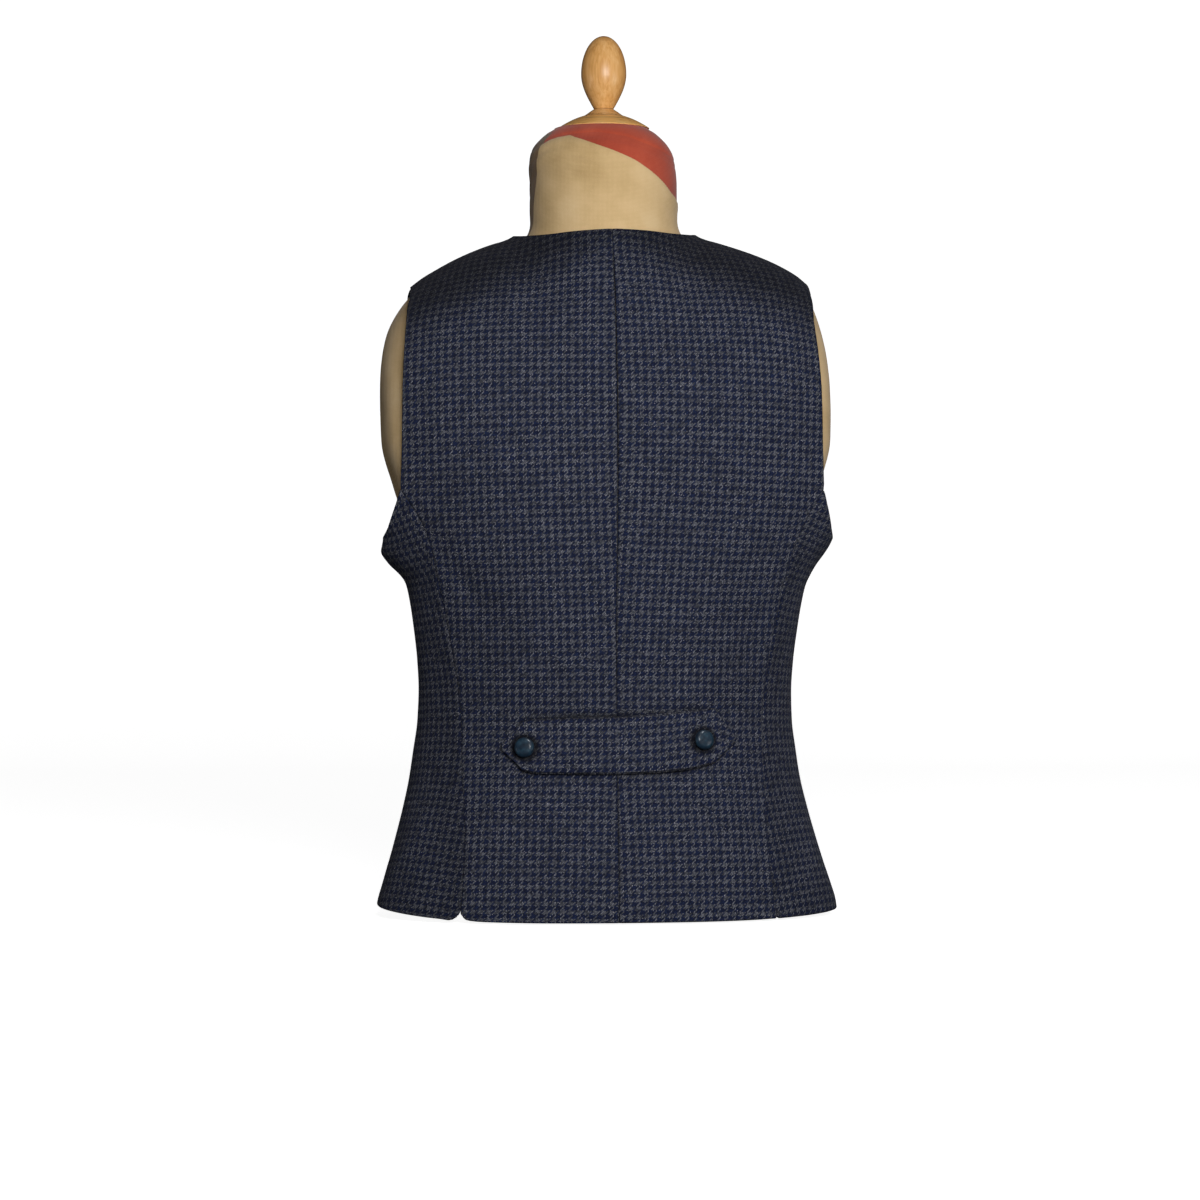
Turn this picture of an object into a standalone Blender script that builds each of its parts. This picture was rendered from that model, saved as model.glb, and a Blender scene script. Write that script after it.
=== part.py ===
"""Women's tweed waistcoat with a half belt, on a limbless dress form.

Metres, +Z up. The front faces -Y, the back faces +Y and the wearer's left is +X.
The origin is the centre of the form's flat base. The pieces are drawn a little above it, from a
datum, and are lowered onto it at the end.
"""

import math

import bpy
import numpy as np
from mathutils import Vector

# ---------------------------------------------------------------- driving dimensions
DATUM = 0.0026  # heights below are measured from this far under the form's base
HEM_Z = 0.0042  # hem at the centre back
HEM_LIFT = {"left": 0.0085, "right": 0.0042}  # how much higher the hem is at the sides
WALL = 0.0024  # two layers of tweed and lining
SEAM_GAP = 0.0003
RIM_SOFT = 0.0007  # how far both faces are drawn in at an edge
SEAM_TOP_Z = 0.325  # where the side back seam meets the armhole
UNDERARM_Z = 0.2705
SIDE_SEAM_ANGLE = 91.0  # degrees round from the centre back
VENT_RADIUS = {"left": 0.0088, "right": 0.0022}
VENT_SHIFT = {"left": 0.0052, "right": 0.0008}  # how far the seam's low end leans towards the centre

SHOULDER_NECK_X = 0.0690
SHOULDER_TIP_X = 0.1515
SHOULDER_SEAM_Y = -0.008
SHOULDER_ROUNDING = 9.5  # drop of the shoulder away from its ridge, per metre squared

SHOULDER_TILT = 0.016  # the wearer's right shoulder is a little higher
SHOULDER_SHIFT = 0.0040  # and both tips lie this far towards it
WING_SAG = 0.0050  # the left armhole's widest point hangs out lower by this much
NECK_SHIFT = 0.0025  # the top of the form's neck leans to the left

FRONT_OVERLAP = 0.013  # each front passes the centre line by this much
FRONT_V_Z = 0.327  # where the V neck meets the front edge
FRONT_LIFT = WALL + 0.0010  # the right front lies over the left one

BELT_THICK = 0.0030
BELT_GAP = 0.0006
BUTTON_RADIUS = 0.0075
BUTTON_HEIGHT = 0.0052
BUTTON_GAP = 0.0003
BELT_BUTTONS = (("left", 0.0671, 0.1323), ("right", -0.0641, 0.1376))
FRONT_BUTTON_HEIGHTS = (0.312, 0.250, 0.188, 0.126, 0.064)

NECK_TOP_Z = 0.6040
CAP_RADIUS = 0.0350
CAP_HEIGHT = 0.0094
CAP_CURVE = 0.0525  # radius of the cap's dome
FINIAL_BASE_Z = NECK_TOP_Z + SEAM_GAP + CAP_HEIGHT + SEAM_GAP

# Half width of the waistcoat at each height, outer face.
WIDTHS = (  # (z, half_width)
    (-0.020, 0.1795), (0.0035, 0.1762), (0.015, 0.1742), (0.026, 0.1710), (0.037, 0.1678),
    (0.060, 0.1613), (0.083, 0.1552), (0.106, 0.1500), (0.1285, 0.1466), (0.151, 0.1436),
    (0.174, 0.1428), (0.197, 0.1440), (0.220, 0.1466), (0.2425, 0.1500), (0.254, 0.1526),
    (0.262, 0.1563), (0.270, 0.1610), (0.278, 0.1668), (0.286, 0.1722), (0.300, 0.1810),
    (0.320, 0.1895), (0.350, 0.1930), (0.400, 0.1930), (0.440, 0.1905), (0.470, 0.1860),
    (0.500, 0.1780), (0.540, 0.1650),
)

# Section of the waistcoat at each height: the y of its side, centre back and centre front,
# and how square the back and the front are (2 is an ellipse).
SECTIONS = (  # (z, side_y, back_y, front_y, back_square, front_square)
    (-0.020, 0.026, 0.1180, -0.1200, 2.10, 2.05),
    (0.0035, 0.026, 0.1180, -0.1190, 2.10, 2.05),
    (0.040, 0.022, 0.1165, -0.1130, 2.10, 2.05),
    (0.080, 0.015, 0.1110, -0.1040, 2.08, 2.05),
    (0.120, 0.010, 0.1035, -0.0960, 2.05, 2.05),
    (0.155, 0.012, 0.0980, -0.0905, 2.05, 2.05),
    (0.185, 0.015, 0.0970, -0.0905, 2.05, 2.05),
    (0.220, 0.019, 0.0990, -0.1000, 2.10, 2.08),
    (0.260, 0.022, 0.1030, -0.1190, 2.20, 2.12),
    (0.300, 0.018, 0.1065, -0.1360, 2.35, 2.20),
    (0.335, 0.012, 0.1085, -0.1420, 2.40, 2.25),
    (0.370, 0.009, 0.1085, -0.1370, 2.40, 2.25),
    (0.400, 0.008, 0.1070, -0.1270, 2.40, 2.25),
    (0.430, 0.007, 0.1040, -0.1130, 2.40, 2.25),
    (0.460, 0.006, 0.0985, -0.0970, 2.40, 2.25),
    (0.490, 0.004, 0.0910, -0.0800, 2.35, 2.20),
    (0.515, 0.002, 0.0810, -0.0660, 2.30, 2.20),
    (0.540, 0.000, 0.0680, -0.0560, 2.20, 2.20),
)

# Top line of the shoulder, out from the neck.
SHOULDER_RIDGE = (  # (x, z)
    (0.000, 0.5335), (0.030, 0.5290), (0.0655, 0.5200), (0.079, 0.5178), (0.100, 0.5114),
    (0.120, 0.5034), (0.134, 0.4963), (0.144, 0.4903), (0.152, 0.4838), (0.165, 0.4690),
    (0.190, 0.4350),
)

# The neck that the neckline lies round.
COAT_NECK = (  # (z, half_width, back_y, front_y)
    (0.460, 0.0900, 0.0880, -0.0760), (0.490, 0.0770, 0.0780, -0.0650),
    (0.510, 0.0680, 0.0700, -0.0570), (0.5235, 0.0640, 0.0655, -0.0530),
    (0.540, 0.0610, 0.0625, -0.0520), (0.560, 0.0590, 0.0605, -0.0520),
    (0.620, 0.0580, 0.0600, -0.0520),
)
FORM_NECK = (  # (z, half_width, back_y, front_y)
    (0.440, 0.0600, 0.0600, -0.0520), (0.490, 0.0585, 0.0605, -0.0540),
    (0.520, 0.0570, 0.0592, -0.0548),
    (0.545, 0.0562, 0.0577, -0.0550), (0.575, 0.0560, 0.0574, -0.0549),
    (0.5845, 0.0542, 0.0554, -0.0529), (0.590, 0.0514, 0.0524, -0.0503),
    (0.595, 0.0471, 0.0477, -0.0464), (0.600, 0.0414, 0.0416, -0.0412),
    (0.6040, 0.0355, 0.0355, -0.0355), (0.640, 0.0300, 0.0300, -0.0300),
)

# The dress form lies inside the waistcoat by `inset`, and its sides are no wider than `half_width`.
FORM_FIT = (  # (z, inset, half_width)
    (-0.020, 0.0500, 0.0860), (0.0026, 0.0380, 0.1000), (0.010, 0.0290, 0.1050),
    (0.017, 0.0235, 0.1120), (0.025, 0.0190, 0.1300), (0.035, 0.0150, 0.1460), (0.060, 0.0100, 0.1650),
    (0.090, 0.0070, 0.1700), (0.150, 0.0052, 0.1700),
    (0.200, 0.0052, 0.1560), (0.245, 0.0060, 0.1450), (0.290, 0.0066, 0.1480),
    (0.330, 0.0062, 0.1600), (0.365, 0.0054, 0.1700), (0.430, 0.0046, 0.1720),
    (0.462, 0.0043, 0.1720), (0.480, 0.0042, 0.1720), (0.500, 0.0040, 0.1720),
    (0.530, 0.0036, 0.1720), (0.620, 0.0034, 0.1720),
)

# Seams and edges of the left half, as points of the body surface.
SIDE_BACK_SEAM = (  # (z, x)
    (0.000, 0.1228), (0.030, 0.1196), (0.0925, 0.1155), (0.150, 0.1140), (0.1675, 0.1152),
    (0.200, 0.1195), (0.2335, 0.1262), (0.265, 0.1332), (0.284, 0.1385), (0.305, 0.1470),
    (0.325, 0.1596),
)
BACK_ARMHOLE = (  # (z, x), from the side back seam up to the shoulder
    (0.325, 0.1596), (0.345, 0.1588), (0.3625, 0.1584), (0.3925, 0.1580), (0.4225, 0.1567),
    (0.4400, 0.1554), (0.4560, 0.1540),
)
BACK_ARMHOLE_TOP = (  # (y, x), over the shoulder
    (0.036, 0.1530), (0.022, 0.1524), (0.007, 0.1518),
)
LOW_ARMHOLE = (  # (z, x), down from the side back seam to the widest point
    (0.325, 0.1596), (0.3175, 0.1617), (0.310, 0.1641), (0.3025, 0.1664), (0.296, 0.1683),
    (0.290, 0.1712),
)
UNDERARM = (  # (angle, z), on from there to the side seam
    (79.0, 0.2820), (83.5, 0.2762), (87.5, 0.2722), (91.0, 0.2705),
)
FRONT_ARMHOLE = (  # (z, x), from the side seam up to the shoulder
    (0.290, 0.1590), (0.315, 0.1500), (0.345, 0.1440), (0.380, 0.1412), (0.415, 0.1418),
    (0.445, 0.1450), (0.468, 0.1485),
)
BACK_NECKLINE = (  # (angle, z)
    (0.0, 0.5214), (25.0, 0.5203), (45.0, 0.5192), (65.0, 0.5198), (80.0, 0.5213),
    (96.5, 0.5232),
)
FRONT_NECKLINE = (  # (z, x), from the shoulder down to the front edge
    (0.505, 0.0650), (0.485, 0.0612), (0.450, 0.0510), (0.410, 0.0355), (0.370, 0.0160),
    (0.345, 0.0015), (0.327, -0.0130),
)
HALF_BELT = (  # (x, low, high)
    (0.0845, 0.1316, 0.1346), (0.0765, 0.1232, 0.1440), (0.0690, 0.1152, 0.1530),
    (0.0600, 0.1134, 0.1542), (0.0300, 0.1130, 0.1552), (0.0000, 0.1130, 0.1561),
    (-0.0300, 0.1137, 0.1577), (-0.0560, 0.1162, 0.1601), (-0.0735, 0.1206, 0.1618),
    (-0.0820, 0.1290, 0.1502), (-0.0903, 0.1360, 0.1390),
)

# Row parameter t: a height below 0.4 m, and above that rays that rise from one point.
RAYS = (  # (t, ray_z, elevation)
    (-0.10, -0.10, 0.0), (0.400, 0.400, 0.0), (0.485, 0.400, 63.75), (0.500, 0.455, 60.0),
    (0.515, 0.500, 48.0), (0.530, 0.540, 25.0), (0.545, 0.566, 0.0), (0.600, 0.621, 0.0),
)

COLOURS = {  # name: (sRGB hex, roughness, metallic)
    "tweed": ("2E303E", 0.9, 0.0),
    "button_leather": ("28384A", 0.4, 0.0),
    "form_cloth": ("B2956E", 0.85, 0.0),
    "cap_wood": ("B98745", 0.4, 0.0),
    "finial_wood": ("CE9C5C", 0.35, 0.0),
}


# ---------------------------------------------------------------- tables and the body surface
def column(table, index, at):
    """Column `index` of a table at the values `at` of its first column, smooth between rows."""
    rows = np.array(table, float)
    order = np.argsort(rows[:, 0])
    xs = rows[order, 0]
    ys = rows[order, index]
    at = np.asarray(at, float)
    step = np.diff(xs)
    slope = np.diff(ys) / step
    mid = np.zeros(len(xs))
    mid[0] = slope[0]
    mid[-1] = slope[-1]
    flat = slope[:-1] * slope[1:] <= 0
    near = 2 * step[1:] + step[:-1]
    far = step[1:] + 2 * step[:-1]
    safe = np.where(slope == 0, 1.0, slope)
    mean = (near + far) / (near / safe[:-1] + far / safe[1:] + 1e-30)
    mid[1:-1] = np.where(flat, 0.0, mean)
    k = np.clip(np.searchsorted(xs, at) - 1, 0, len(step) - 1)
    s = np.clip((at - xs[k]) / step[k], 0.0, 1.0)
    h = step[k]
    a = (1 + 2 * s) * (1 - s) ** 2
    b = s * (1 - s) ** 2
    c = s * s * (3 - 2 * s)
    d = s * s * (s - 1)
    return a * ys[k] + b * h * mid[k] + c * ys[k + 1] + d * h * mid[k + 1]


def smooth_max(a, b, k):
    h = np.maximum(k - np.abs(a - b), 0.0)
    return np.maximum(a, b) + h * h / (4 * k)


def smooth_min(a, b, k):
    return -smooth_max(-a, -b, k)


def ring_distance(x, y, half, side, back, front, square_back, square_front):
    """Roughly how far (x, y) lies outside one horizontal section."""
    dy = y - side
    deep = np.where(dy > 0, back - side, side - front)
    n = np.where(dy > 0, square_back, square_front)
    g = ((np.abs(x) / half) ** n + (np.abs(dy) / deep) ** n) ** (1 / n)
    r = np.sqrt(x * x + dy * dy)
    return r - r / np.maximum(g, 1e-6)


def torso_distance(x, y, z, corner=0.026):
    table = [column(SECTIONS, i, z) for i in range(1, 6)]
    ring = ring_distance(x, y, column(WIDTHS, 1, z), *table)
    ridge = column(SHOULDER_RIDGE, 1, np.abs(x))
    dy = y - SHOULDER_SEAM_Y - 0.010
    steep = 2 * SHOULDER_ROUNDING * dy
    roof = (z - ridge + SHOULDER_ROUNDING * dy * dy) / np.sqrt(1.16 + steep * steep)
    return smooth_max(ring, roof, corner)


def neck_distance(table, x, y, z):
    half, back, front = (column(table, i, z) for i in (1, 2, 3))
    return ring_distance(x, y, half, 0.0 * z, back, front, 2.0, 2.0)


def coat_distance(x, y, z):
    neck = neck_distance(COAT_NECK, x, y, z)
    return smooth_min(torso_distance(x, y, z), neck, 0.016)


def form_distance(x, y, z):
    inset = column(FORM_FIT, 1, z)
    side = np.abs(x) - column(FORM_FIT, 2, z)
    body = smooth_max(torso_distance(x, y, z, 0.050) + inset, side, 0.018)
    return smooth_min(body, neck_distance(FORM_NECK, x, y, z), 0.014)


def cast(distance, start, direction, far=0.5):
    """Where rays from inside a body leave it, by halving."""
    low = np.full(len(start), 0.004)
    high = np.full(len(start), far)
    for _ in range(44):
        middle = (low + high) / 2
        p = start + direction * middle[:, None]
        inside = distance(p[:, 0], p[:, 1], p[:, 2]) < 0
        low = np.where(inside, middle, low)
        high = np.where(inside, high, middle)
    return start + direction * high[:, None]


def on_surface(distance, angle, t):
    """The point of a body at `angle` (radians round from the centre back) and row parameter t."""
    shape = np.shape(angle)
    angle = np.ravel(angle)
    t = np.ravel(t)
    ray_z = np.interp(t, [r[0] for r in RAYS], [r[1] for r in RAYS])
    rise = np.radians(np.interp(t, [r[0] for r in RAYS], [r[2] for r in RAYS]))
    start = np.stack([0 * t, 0 * t, ray_z], axis=1)
    flat = np.cos(rise)
    direction = np.stack([np.sin(angle) * flat, np.cos(angle) * flat, np.sin(rise)], axis=1)
    return cast(distance, start, direction).reshape(shape + (3,))


def normals(distance, points):
    """Unit outward normals of a body at points of its surface."""
    flat = points.reshape(-1, 3)
    step = 0.0008
    axes = []
    for i in range(3):
        d = np.zeros(3)
        d[i] = step
        more = distance(*(flat + d).T)
        less = distance(*(flat - d).T)
        axes.append(more - less)
    n = np.stack(axes, axis=1)
    n /= np.linalg.norm(n, axis=1)[:, None]
    return n.reshape(points.shape)


def parameters(points):
    """Angle and row parameter of surface points below the neck."""
    radius = np.hypot(points[:, 0], points[:, 1])
    angle = np.arctan2(points[:, 0], points[:, 1])
    angle = np.where(angle < -math.pi / 2, angle + 2 * math.pi, angle)
    rise = np.degrees(np.arctan2(points[:, 2] - 0.4, radius))
    t = np.where(points[:, 2] <= 0.4, points[:, 2], 0.4 + rise / 750.0)
    return np.stack([angle, t], axis=1)


def from_x(x, z, back):
    """Surface points at given x and z, on the back or the front."""
    x = np.asarray(x, float)
    start = np.stack([x, 0 * x, np.asarray(z, float)], axis=1)
    direction = np.tile([0.0, 1.0 if back else -1.0, 0.0], (len(x), 1))
    return cast(coat_distance, start, direction)


def from_angle(angle, z):
    """Surface points at given angles in degrees and heights."""
    angle = np.radians(np.asarray(angle, float))
    start = np.stack([0 * angle, 0 * angle, np.asarray(z, float)], axis=1)
    direction = np.stack([np.sin(angle), np.cos(angle), 0 * angle], axis=1)
    return cast(coat_distance, start, direction)


def from_above(x, y):
    """Surface points on top of the shoulder."""
    x = np.asarray(x, float)
    start = np.stack([x, 0 * x + y, 0 * x + 0.40], axis=1)
    return cast(coat_distance, start, np.tile([0.0, 0.0, 1.0], (len(x), 1)))


def ease(value, start, end):
    """0 before `start`, 1 after `end` and a smooth rise between them."""
    share = np.clip((value - start) / (end - start), 0, 1)
    return share * share * (3 - 2 * share)


def settle(points):
    """Tilts, shifts and sags a body's points, the waistcoat's and the form's alike."""
    x, z = points[..., 0], points[..., 2]
    tilt = ease(z, 0.400, 0.470) * ease(-z, -0.575, -0.525)
    shift = ease(z, 0.445, 0.495) * ease(np.abs(x), 0.080, 0.140)
    wing = ease(x, 0.135, 0.165) * ease(z, 0.256, 0.271) * ease(-z, -0.290, -0.276)
    lean = ease(z, 0.560, 0.592)
    points = points.copy()
    points[..., 2] = z - SHOULDER_TILT * x * tilt
    points[..., 0] = x - SHOULDER_SHIFT * shift + WING_SAG * wing + NECK_SHIFT * lean
    return points


# ---------------------------------------------------------------- panels of cloth
def hem_z(angle, side):
    return HEM_Z + HEM_LIFT[side] * np.abs(np.sin(angle)) ** 8


def hem_rows(radius):
    """Heights above the hem of a seam's first rows, which its rounded corner needs."""
    return np.array([0.0, radius * (1 - math.cos(math.radians(67.5))), radius])


def seam_heights(radius, top, count):
    low = hem_rows(radius) + HEM_Z
    return np.concatenate([low, np.linspace(low[-1], top, count - 1)[1:]])


def coons(bottom, top, inner, outer):
    """Grid of rows and columns filled in between four edges that share their corners."""
    rows = len(inner)
    cols = len(bottom)
    u = chord_share(bottom, top, cols)[None, :, None]
    v = chord_share(inner, outer, rows)[:, None, None]
    sides = (1 - u) * inner[:, None, :] + u * outer[:, None, :]
    ends = (1 - v) * bottom[None, :, :] + v * top[None, :, :]
    corners = (
        (1 - u) * (1 - v) * bottom[0]
        + u * (1 - v) * bottom[-1]
        + (1 - u) * v * top[0]
        + u * v * top[-1]
    )
    return sides + ends - corners


def relax(grid, first):
    """Evens out the inside of a grid from row `first` up, where its edges turn a corner."""
    for _ in range(14):
        middle = (grid[:-2, 1:-1] + grid[2:, 1:-1] + grid[1:-1, :-2] + grid[1:-1, 2:]) / 4
        grid[first:-1, 1:-1] = middle[first - 1 :]
    return grid


def chord_share(a, b, count):
    """How far along a pair of facing edges each point lies, as their mean."""
    total = np.zeros(count)
    for edge in (a, b):
        scaled = edge * np.array([0.13, 1.0])
        length = np.concatenate([[0], np.cumsum(np.linalg.norm(np.diff(scaled, axis=0), axis=1))])
        total += length / length[-1] / 2
    return total


def round_corner(grid, col, radius):
    """Rounds the bottom corner of a parameter grid at its first or last column."""
    step = 1 if col == 0 else -1
    angle = grid[0, col, 0]
    point = on_surface(coat_distance, np.array([angle, angle + 0.001]), np.full(2, HEM_Z))
    per_radian = np.linalg.norm(point[1] - point[0]) / 0.001
    corner = grid[0, col].copy()
    side = step if col == 0 else -1
    direction = np.sign(grid[0, col + side, 0] - angle)
    for k, (across, up) in enumerate(((0, 0), (1, 0), (2, 0))):
        turn = math.radians(45.0 - 22.5 * k)
        at = col + side * across
        grid[up, at, 0] = corner[0] + direction * radius * (1 - math.sin(turn)) / per_radian
        grid[up, at, 1] = corner[1] + radius * (1 - math.cos(turn))
    turn = math.radians(67.5)
    grid[1, col, 0] = corner[0] + direction * radius * (1 - math.sin(turn)) / per_radian
    return grid


def edge_directions(points, normal, mirrored):
    """For each of a grid's four edges, unit vectors in the cloth that point out of the panel."""
    found = {}
    for name, line, n in (
        ("bottom", points[0], normal[0]),
        ("top", points[-1][::-1], normal[-1][::-1]),
        ("outer", points[:, -1], normal[:, -1]),
        ("inner", points[::-1, 0], normal[::-1, 0]),
    ):
        along = np.gradient(line, axis=0)
        out = np.cross(along, n)
        out /= np.linalg.norm(out, axis=1)[:, None]
        if mirrored:
            out = -out
        found[name] = out[::-1] if name in ("top", "inner") else out
    return found


def cloth_mesh(points, normal, mirrored, seams, gap, thick):
    """A closed wall over a grid: outer face, inner face and a soft rim, drawn in at its seams."""
    rows, cols = points.shape[:2]
    out = edge_directions(points, normal, mirrored)
    slices = {
        "bottom": (0, slice(None)),
        "top": (-1, slice(None)),
        "inner": (slice(None), 0),
        "outer": (slice(None), -1),
    }
    middle = points.copy()
    faces_in = np.zeros_like(points)
    for name, where in slices.items():
        reach = seams.get(name, 0.0)
        if np.ndim(reach):
            reach = np.asarray(reach)[:, None]
        middle[where] -= out[name] * reach * SEAM_GAP / 2
        faces_in[where] += out[name] * RIM_SOFT
    top = middle - faces_in + normal * (gap + thick)
    low = middle - faces_in + normal * gap
    rim = middle + normal * (gap + thick / 2)
    index = np.arange(rows * cols).reshape(rows, cols)
    loop = np.concatenate([index[0, :-1], index[:-1, -1], index[-1, :0:-1], index[:0:-1, 0]])
    verts = np.concatenate([top.reshape(-1, 3), low.reshape(-1, 3), rim.reshape(-1, 3)[loop]])
    count = rows * cols
    faces = []
    for i in range(rows - 1):
        for j in range(cols - 1):
            a, b, c, d = index[i, j], index[i, j + 1], index[i + 1, j + 1], index[i + 1, j]
            faces.append((a, b, c, d))
            faces.append((d + count, c + count, b + count, a + count))
    size = len(loop)
    for k in range(size):
        a = loop[k]
        b = loop[(k + 1) % size]
        e = 2 * count + k
        f = 2 * count + (k + 1) % size
        faces.append((b, a, e, f))
        faces.append((f, e, a + count, b + count))
    if not mirrored:
        return verts, faces
    return verts, [face[::-1] for face in faces]


# ---------------------------------------------------------------- objects
def srgb(code):
    found = []
    for i in (0, 2, 4):
        c = int(code[i : i + 2], 16) / 255
        found.append(c / 12.92 if c <= 0.04045 else ((c + 0.055) / 1.055) ** 2.4)
    return (*found, 1.0)


def material(name):
    found = bpy.data.materials.get(name)
    if found:
        return found
    code, roughness, metallic = COLOURS[name]
    made = bpy.data.materials.new(name)
    made.use_nodes = True
    shader = made.node_tree.nodes["Principled BSDF"]
    shader.inputs["Base Color"].default_value = srgb(code)
    shader.inputs["Roughness"].default_value = roughness
    shader.inputs["Metallic"].default_value = metallic
    made.diffuse_color = srgb(code)
    return made


def add_object(name, mesh, look):
    obj = bpy.data.objects.new(name, mesh)
    if not mesh.materials:
        mesh.materials.append(material(look))
    parts.objects.link(obj)
    return obj


def mesh_object(name, verts, faces, look):
    mesh = bpy.data.meshes.new(name)
    mesh.from_pydata([tuple(map(float, v)) for v in verts], [], [tuple(map(int, f)) for f in faces])
    mesh.shade_smooth()
    mesh.set_sharp_from_angle(angle=math.radians(40))
    return add_object(name, mesh, look)


def turned_mesh(name, profile):
    """A mesh of a profile's edge, for a Screw modifier: (radius, z) from the top of the axis down."""
    mesh = bpy.data.meshes.new(name)
    points = [(r, 0.0, z) for r, z in profile]
    mesh.from_pydata(points, [(i, i + 1) for i in range(len(points) - 1)], [])
    return mesh


def turned_object(name, mesh, steps, look):
    obj = add_object(name, mesh, look)
    screw = obj.modifiers.new("Turned", "SCREW")
    screw.axis = "Z"
    screw.steps = steps
    screw.render_steps = steps
    screw.use_merge_vertices = True
    screw.merge_threshold = 0.00002
    screw.use_smooth_shade = True
    return obj


# ---------------------------------------------------------------- waistcoat
def side_seam_line(side, count):
    """Rows of the side seam, as parameters."""
    z = seam_heights(VENT_RADIUS[side], UNDERARM_Z, count)
    share = (z - z[0]) / (z[-1] - z[0])
    angle = np.full(len(z), math.radians(SIDE_SEAM_ANGLE))
    z = z + (1 - share) * (hem_z(angle, side) - HEM_Z)
    return np.stack([angle, z], axis=1)


def back_seam_line(side, count):
    """Rows of the side back seam, as parameters."""
    z = seam_heights(VENT_RADIUS[side], SEAM_TOP_Z, count)
    x = column(SIDE_BACK_SEAM, 1, z) - VENT_SHIFT[side] * ease(-z, -0.150, -0.020)
    line = parameters(from_x(x, z, True))
    share = (z - z[0]) / (z[-1] - z[0])
    line[:, 1] += (1 - share) ** 2 * (hem_z(line[0, 0], side) - HEM_Z)
    return line


def shoulder_line(count):
    """The shoulder seam from the neck out to its tip, as parameters."""
    x = np.linspace(SHOULDER_NECK_X, SHOULDER_TIP_X, count)
    return parameters(from_above(x, SHOULDER_SEAM_Y))


def along(line, count):
    """A line of parameters divided into evenly spaced points of the surface."""
    place = on_surface(coat_distance, line[:, 0], line[:, 1])
    length = np.concatenate([[0], np.cumsum(np.linalg.norm(np.diff(place, axis=0), axis=1))])
    even = np.linspace(0, length[-1], count)
    return np.stack([np.interp(even, length, line[:, i]) for i in (0, 1)], axis=1)


def fine(table, count, index=1):
    """A table's first and another column, read smoothly at many points."""
    first = [row[0] for row in table]
    at = np.linspace(first[0], first[-1], count)
    return at, column(table, index, at)


SEAM_ROWS = 17
ARM_ROWS = 9
SHOULDER_ROWS = 12
BACK_COLS = 11
SIDE_COLS = 8


def hem_angles(start, end, cols, from_axis):
    """Angles of a hem's points: two of them close to the end, which has a rounded corner."""
    way = np.sign(end - start)
    near = end - way * np.array([0.0080, 0.0035]) / from_axis
    return np.concatenate([np.linspace(start, near[0], cols - 1), near[1:], [end]])


def back_panel_grid(side):
    """A centre back: column 0 is the centre seam, the last one the outer seam and edge."""
    radius = VENT_RADIUS[side]
    seam = back_seam_line(side, SEAM_ROWS)
    shoulder = shoulder_line(SHOULDER_ROWS + 1)[::-1]
    z, x = fine(BACK_ARMHOLE, 60)
    y, high_x = fine(BACK_ARMHOLE_TOP, 20)
    arm = [seam[-1:], parameters(from_x(x, z, True))[1:], parameters(from_above(high_x, y))]
    arm = along(np.concatenate([*arm, shoulder[:1]]), ARM_ROWS + 1)
    outer = np.concatenate([seam, arm[1:], shoulder[1:]])
    angle, z = fine(BACK_NECKLINE, 60)
    neck = parameters(from_angle(angle, z))
    neck[-1] = shoulder[-1]
    top = along(neck, BACK_COLS + 1)
    high = outer[len(seam) :, 1] - SEAM_TOP_Z
    high = SEAM_TOP_Z + (high / high[-1]) ** 0.75 * (neck[0, 1] - SEAM_TOP_Z)
    high[:ARM_ROWS] = np.linspace(SEAM_TOP_Z, high[ARM_ROWS - 1], ARM_ROWS + 1)[1:]
    t = np.concatenate([seam_heights(radius, SEAM_TOP_Z, SEAM_ROWS), high])
    inner = np.stack([0 * t, t], axis=1)
    angle = hem_angles(0.0, seam[0, 0], BACK_COLS, 0.15)
    bottom = np.stack([angle, hem_z(angle, side)], axis=1)
    bottom[-1] = seam[0]
    grid = relax(coons(bottom, top, inner, outer), SEAM_ROWS)
    return round_corner(grid, len(top) - 1, radius)


def side_panel_grid(side):
    """A side back: column 0 is the side back seam and the last one the side seam."""
    inner = back_seam_line(side, SEAM_ROWS)
    outer = side_seam_line(side, SEAM_ROWS)
    z, x = fine(LOW_ARMHOLE, 40)
    angle, low_z = fine(UNDERARM, 30)
    top = [inner[-1:], parameters(from_x(x, z, True))[1:], parameters(from_angle(angle, low_z))]
    top = np.concatenate(top)
    top[-1] = outer[-1]
    top = along(top, SIDE_COLS + 1)
    angle = hem_angles(outer[0, 0], inner[0, 0], SIDE_COLS, 0.16)[::-1]
    bottom = np.stack([angle, hem_z(angle, side)], axis=1)
    bottom[0] = inner[0]
    bottom[-1] = outer[0]
    grid = coons(bottom, top, inner, outer)
    return round_corner(grid, 0, VENT_RADIUS[side])


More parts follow.
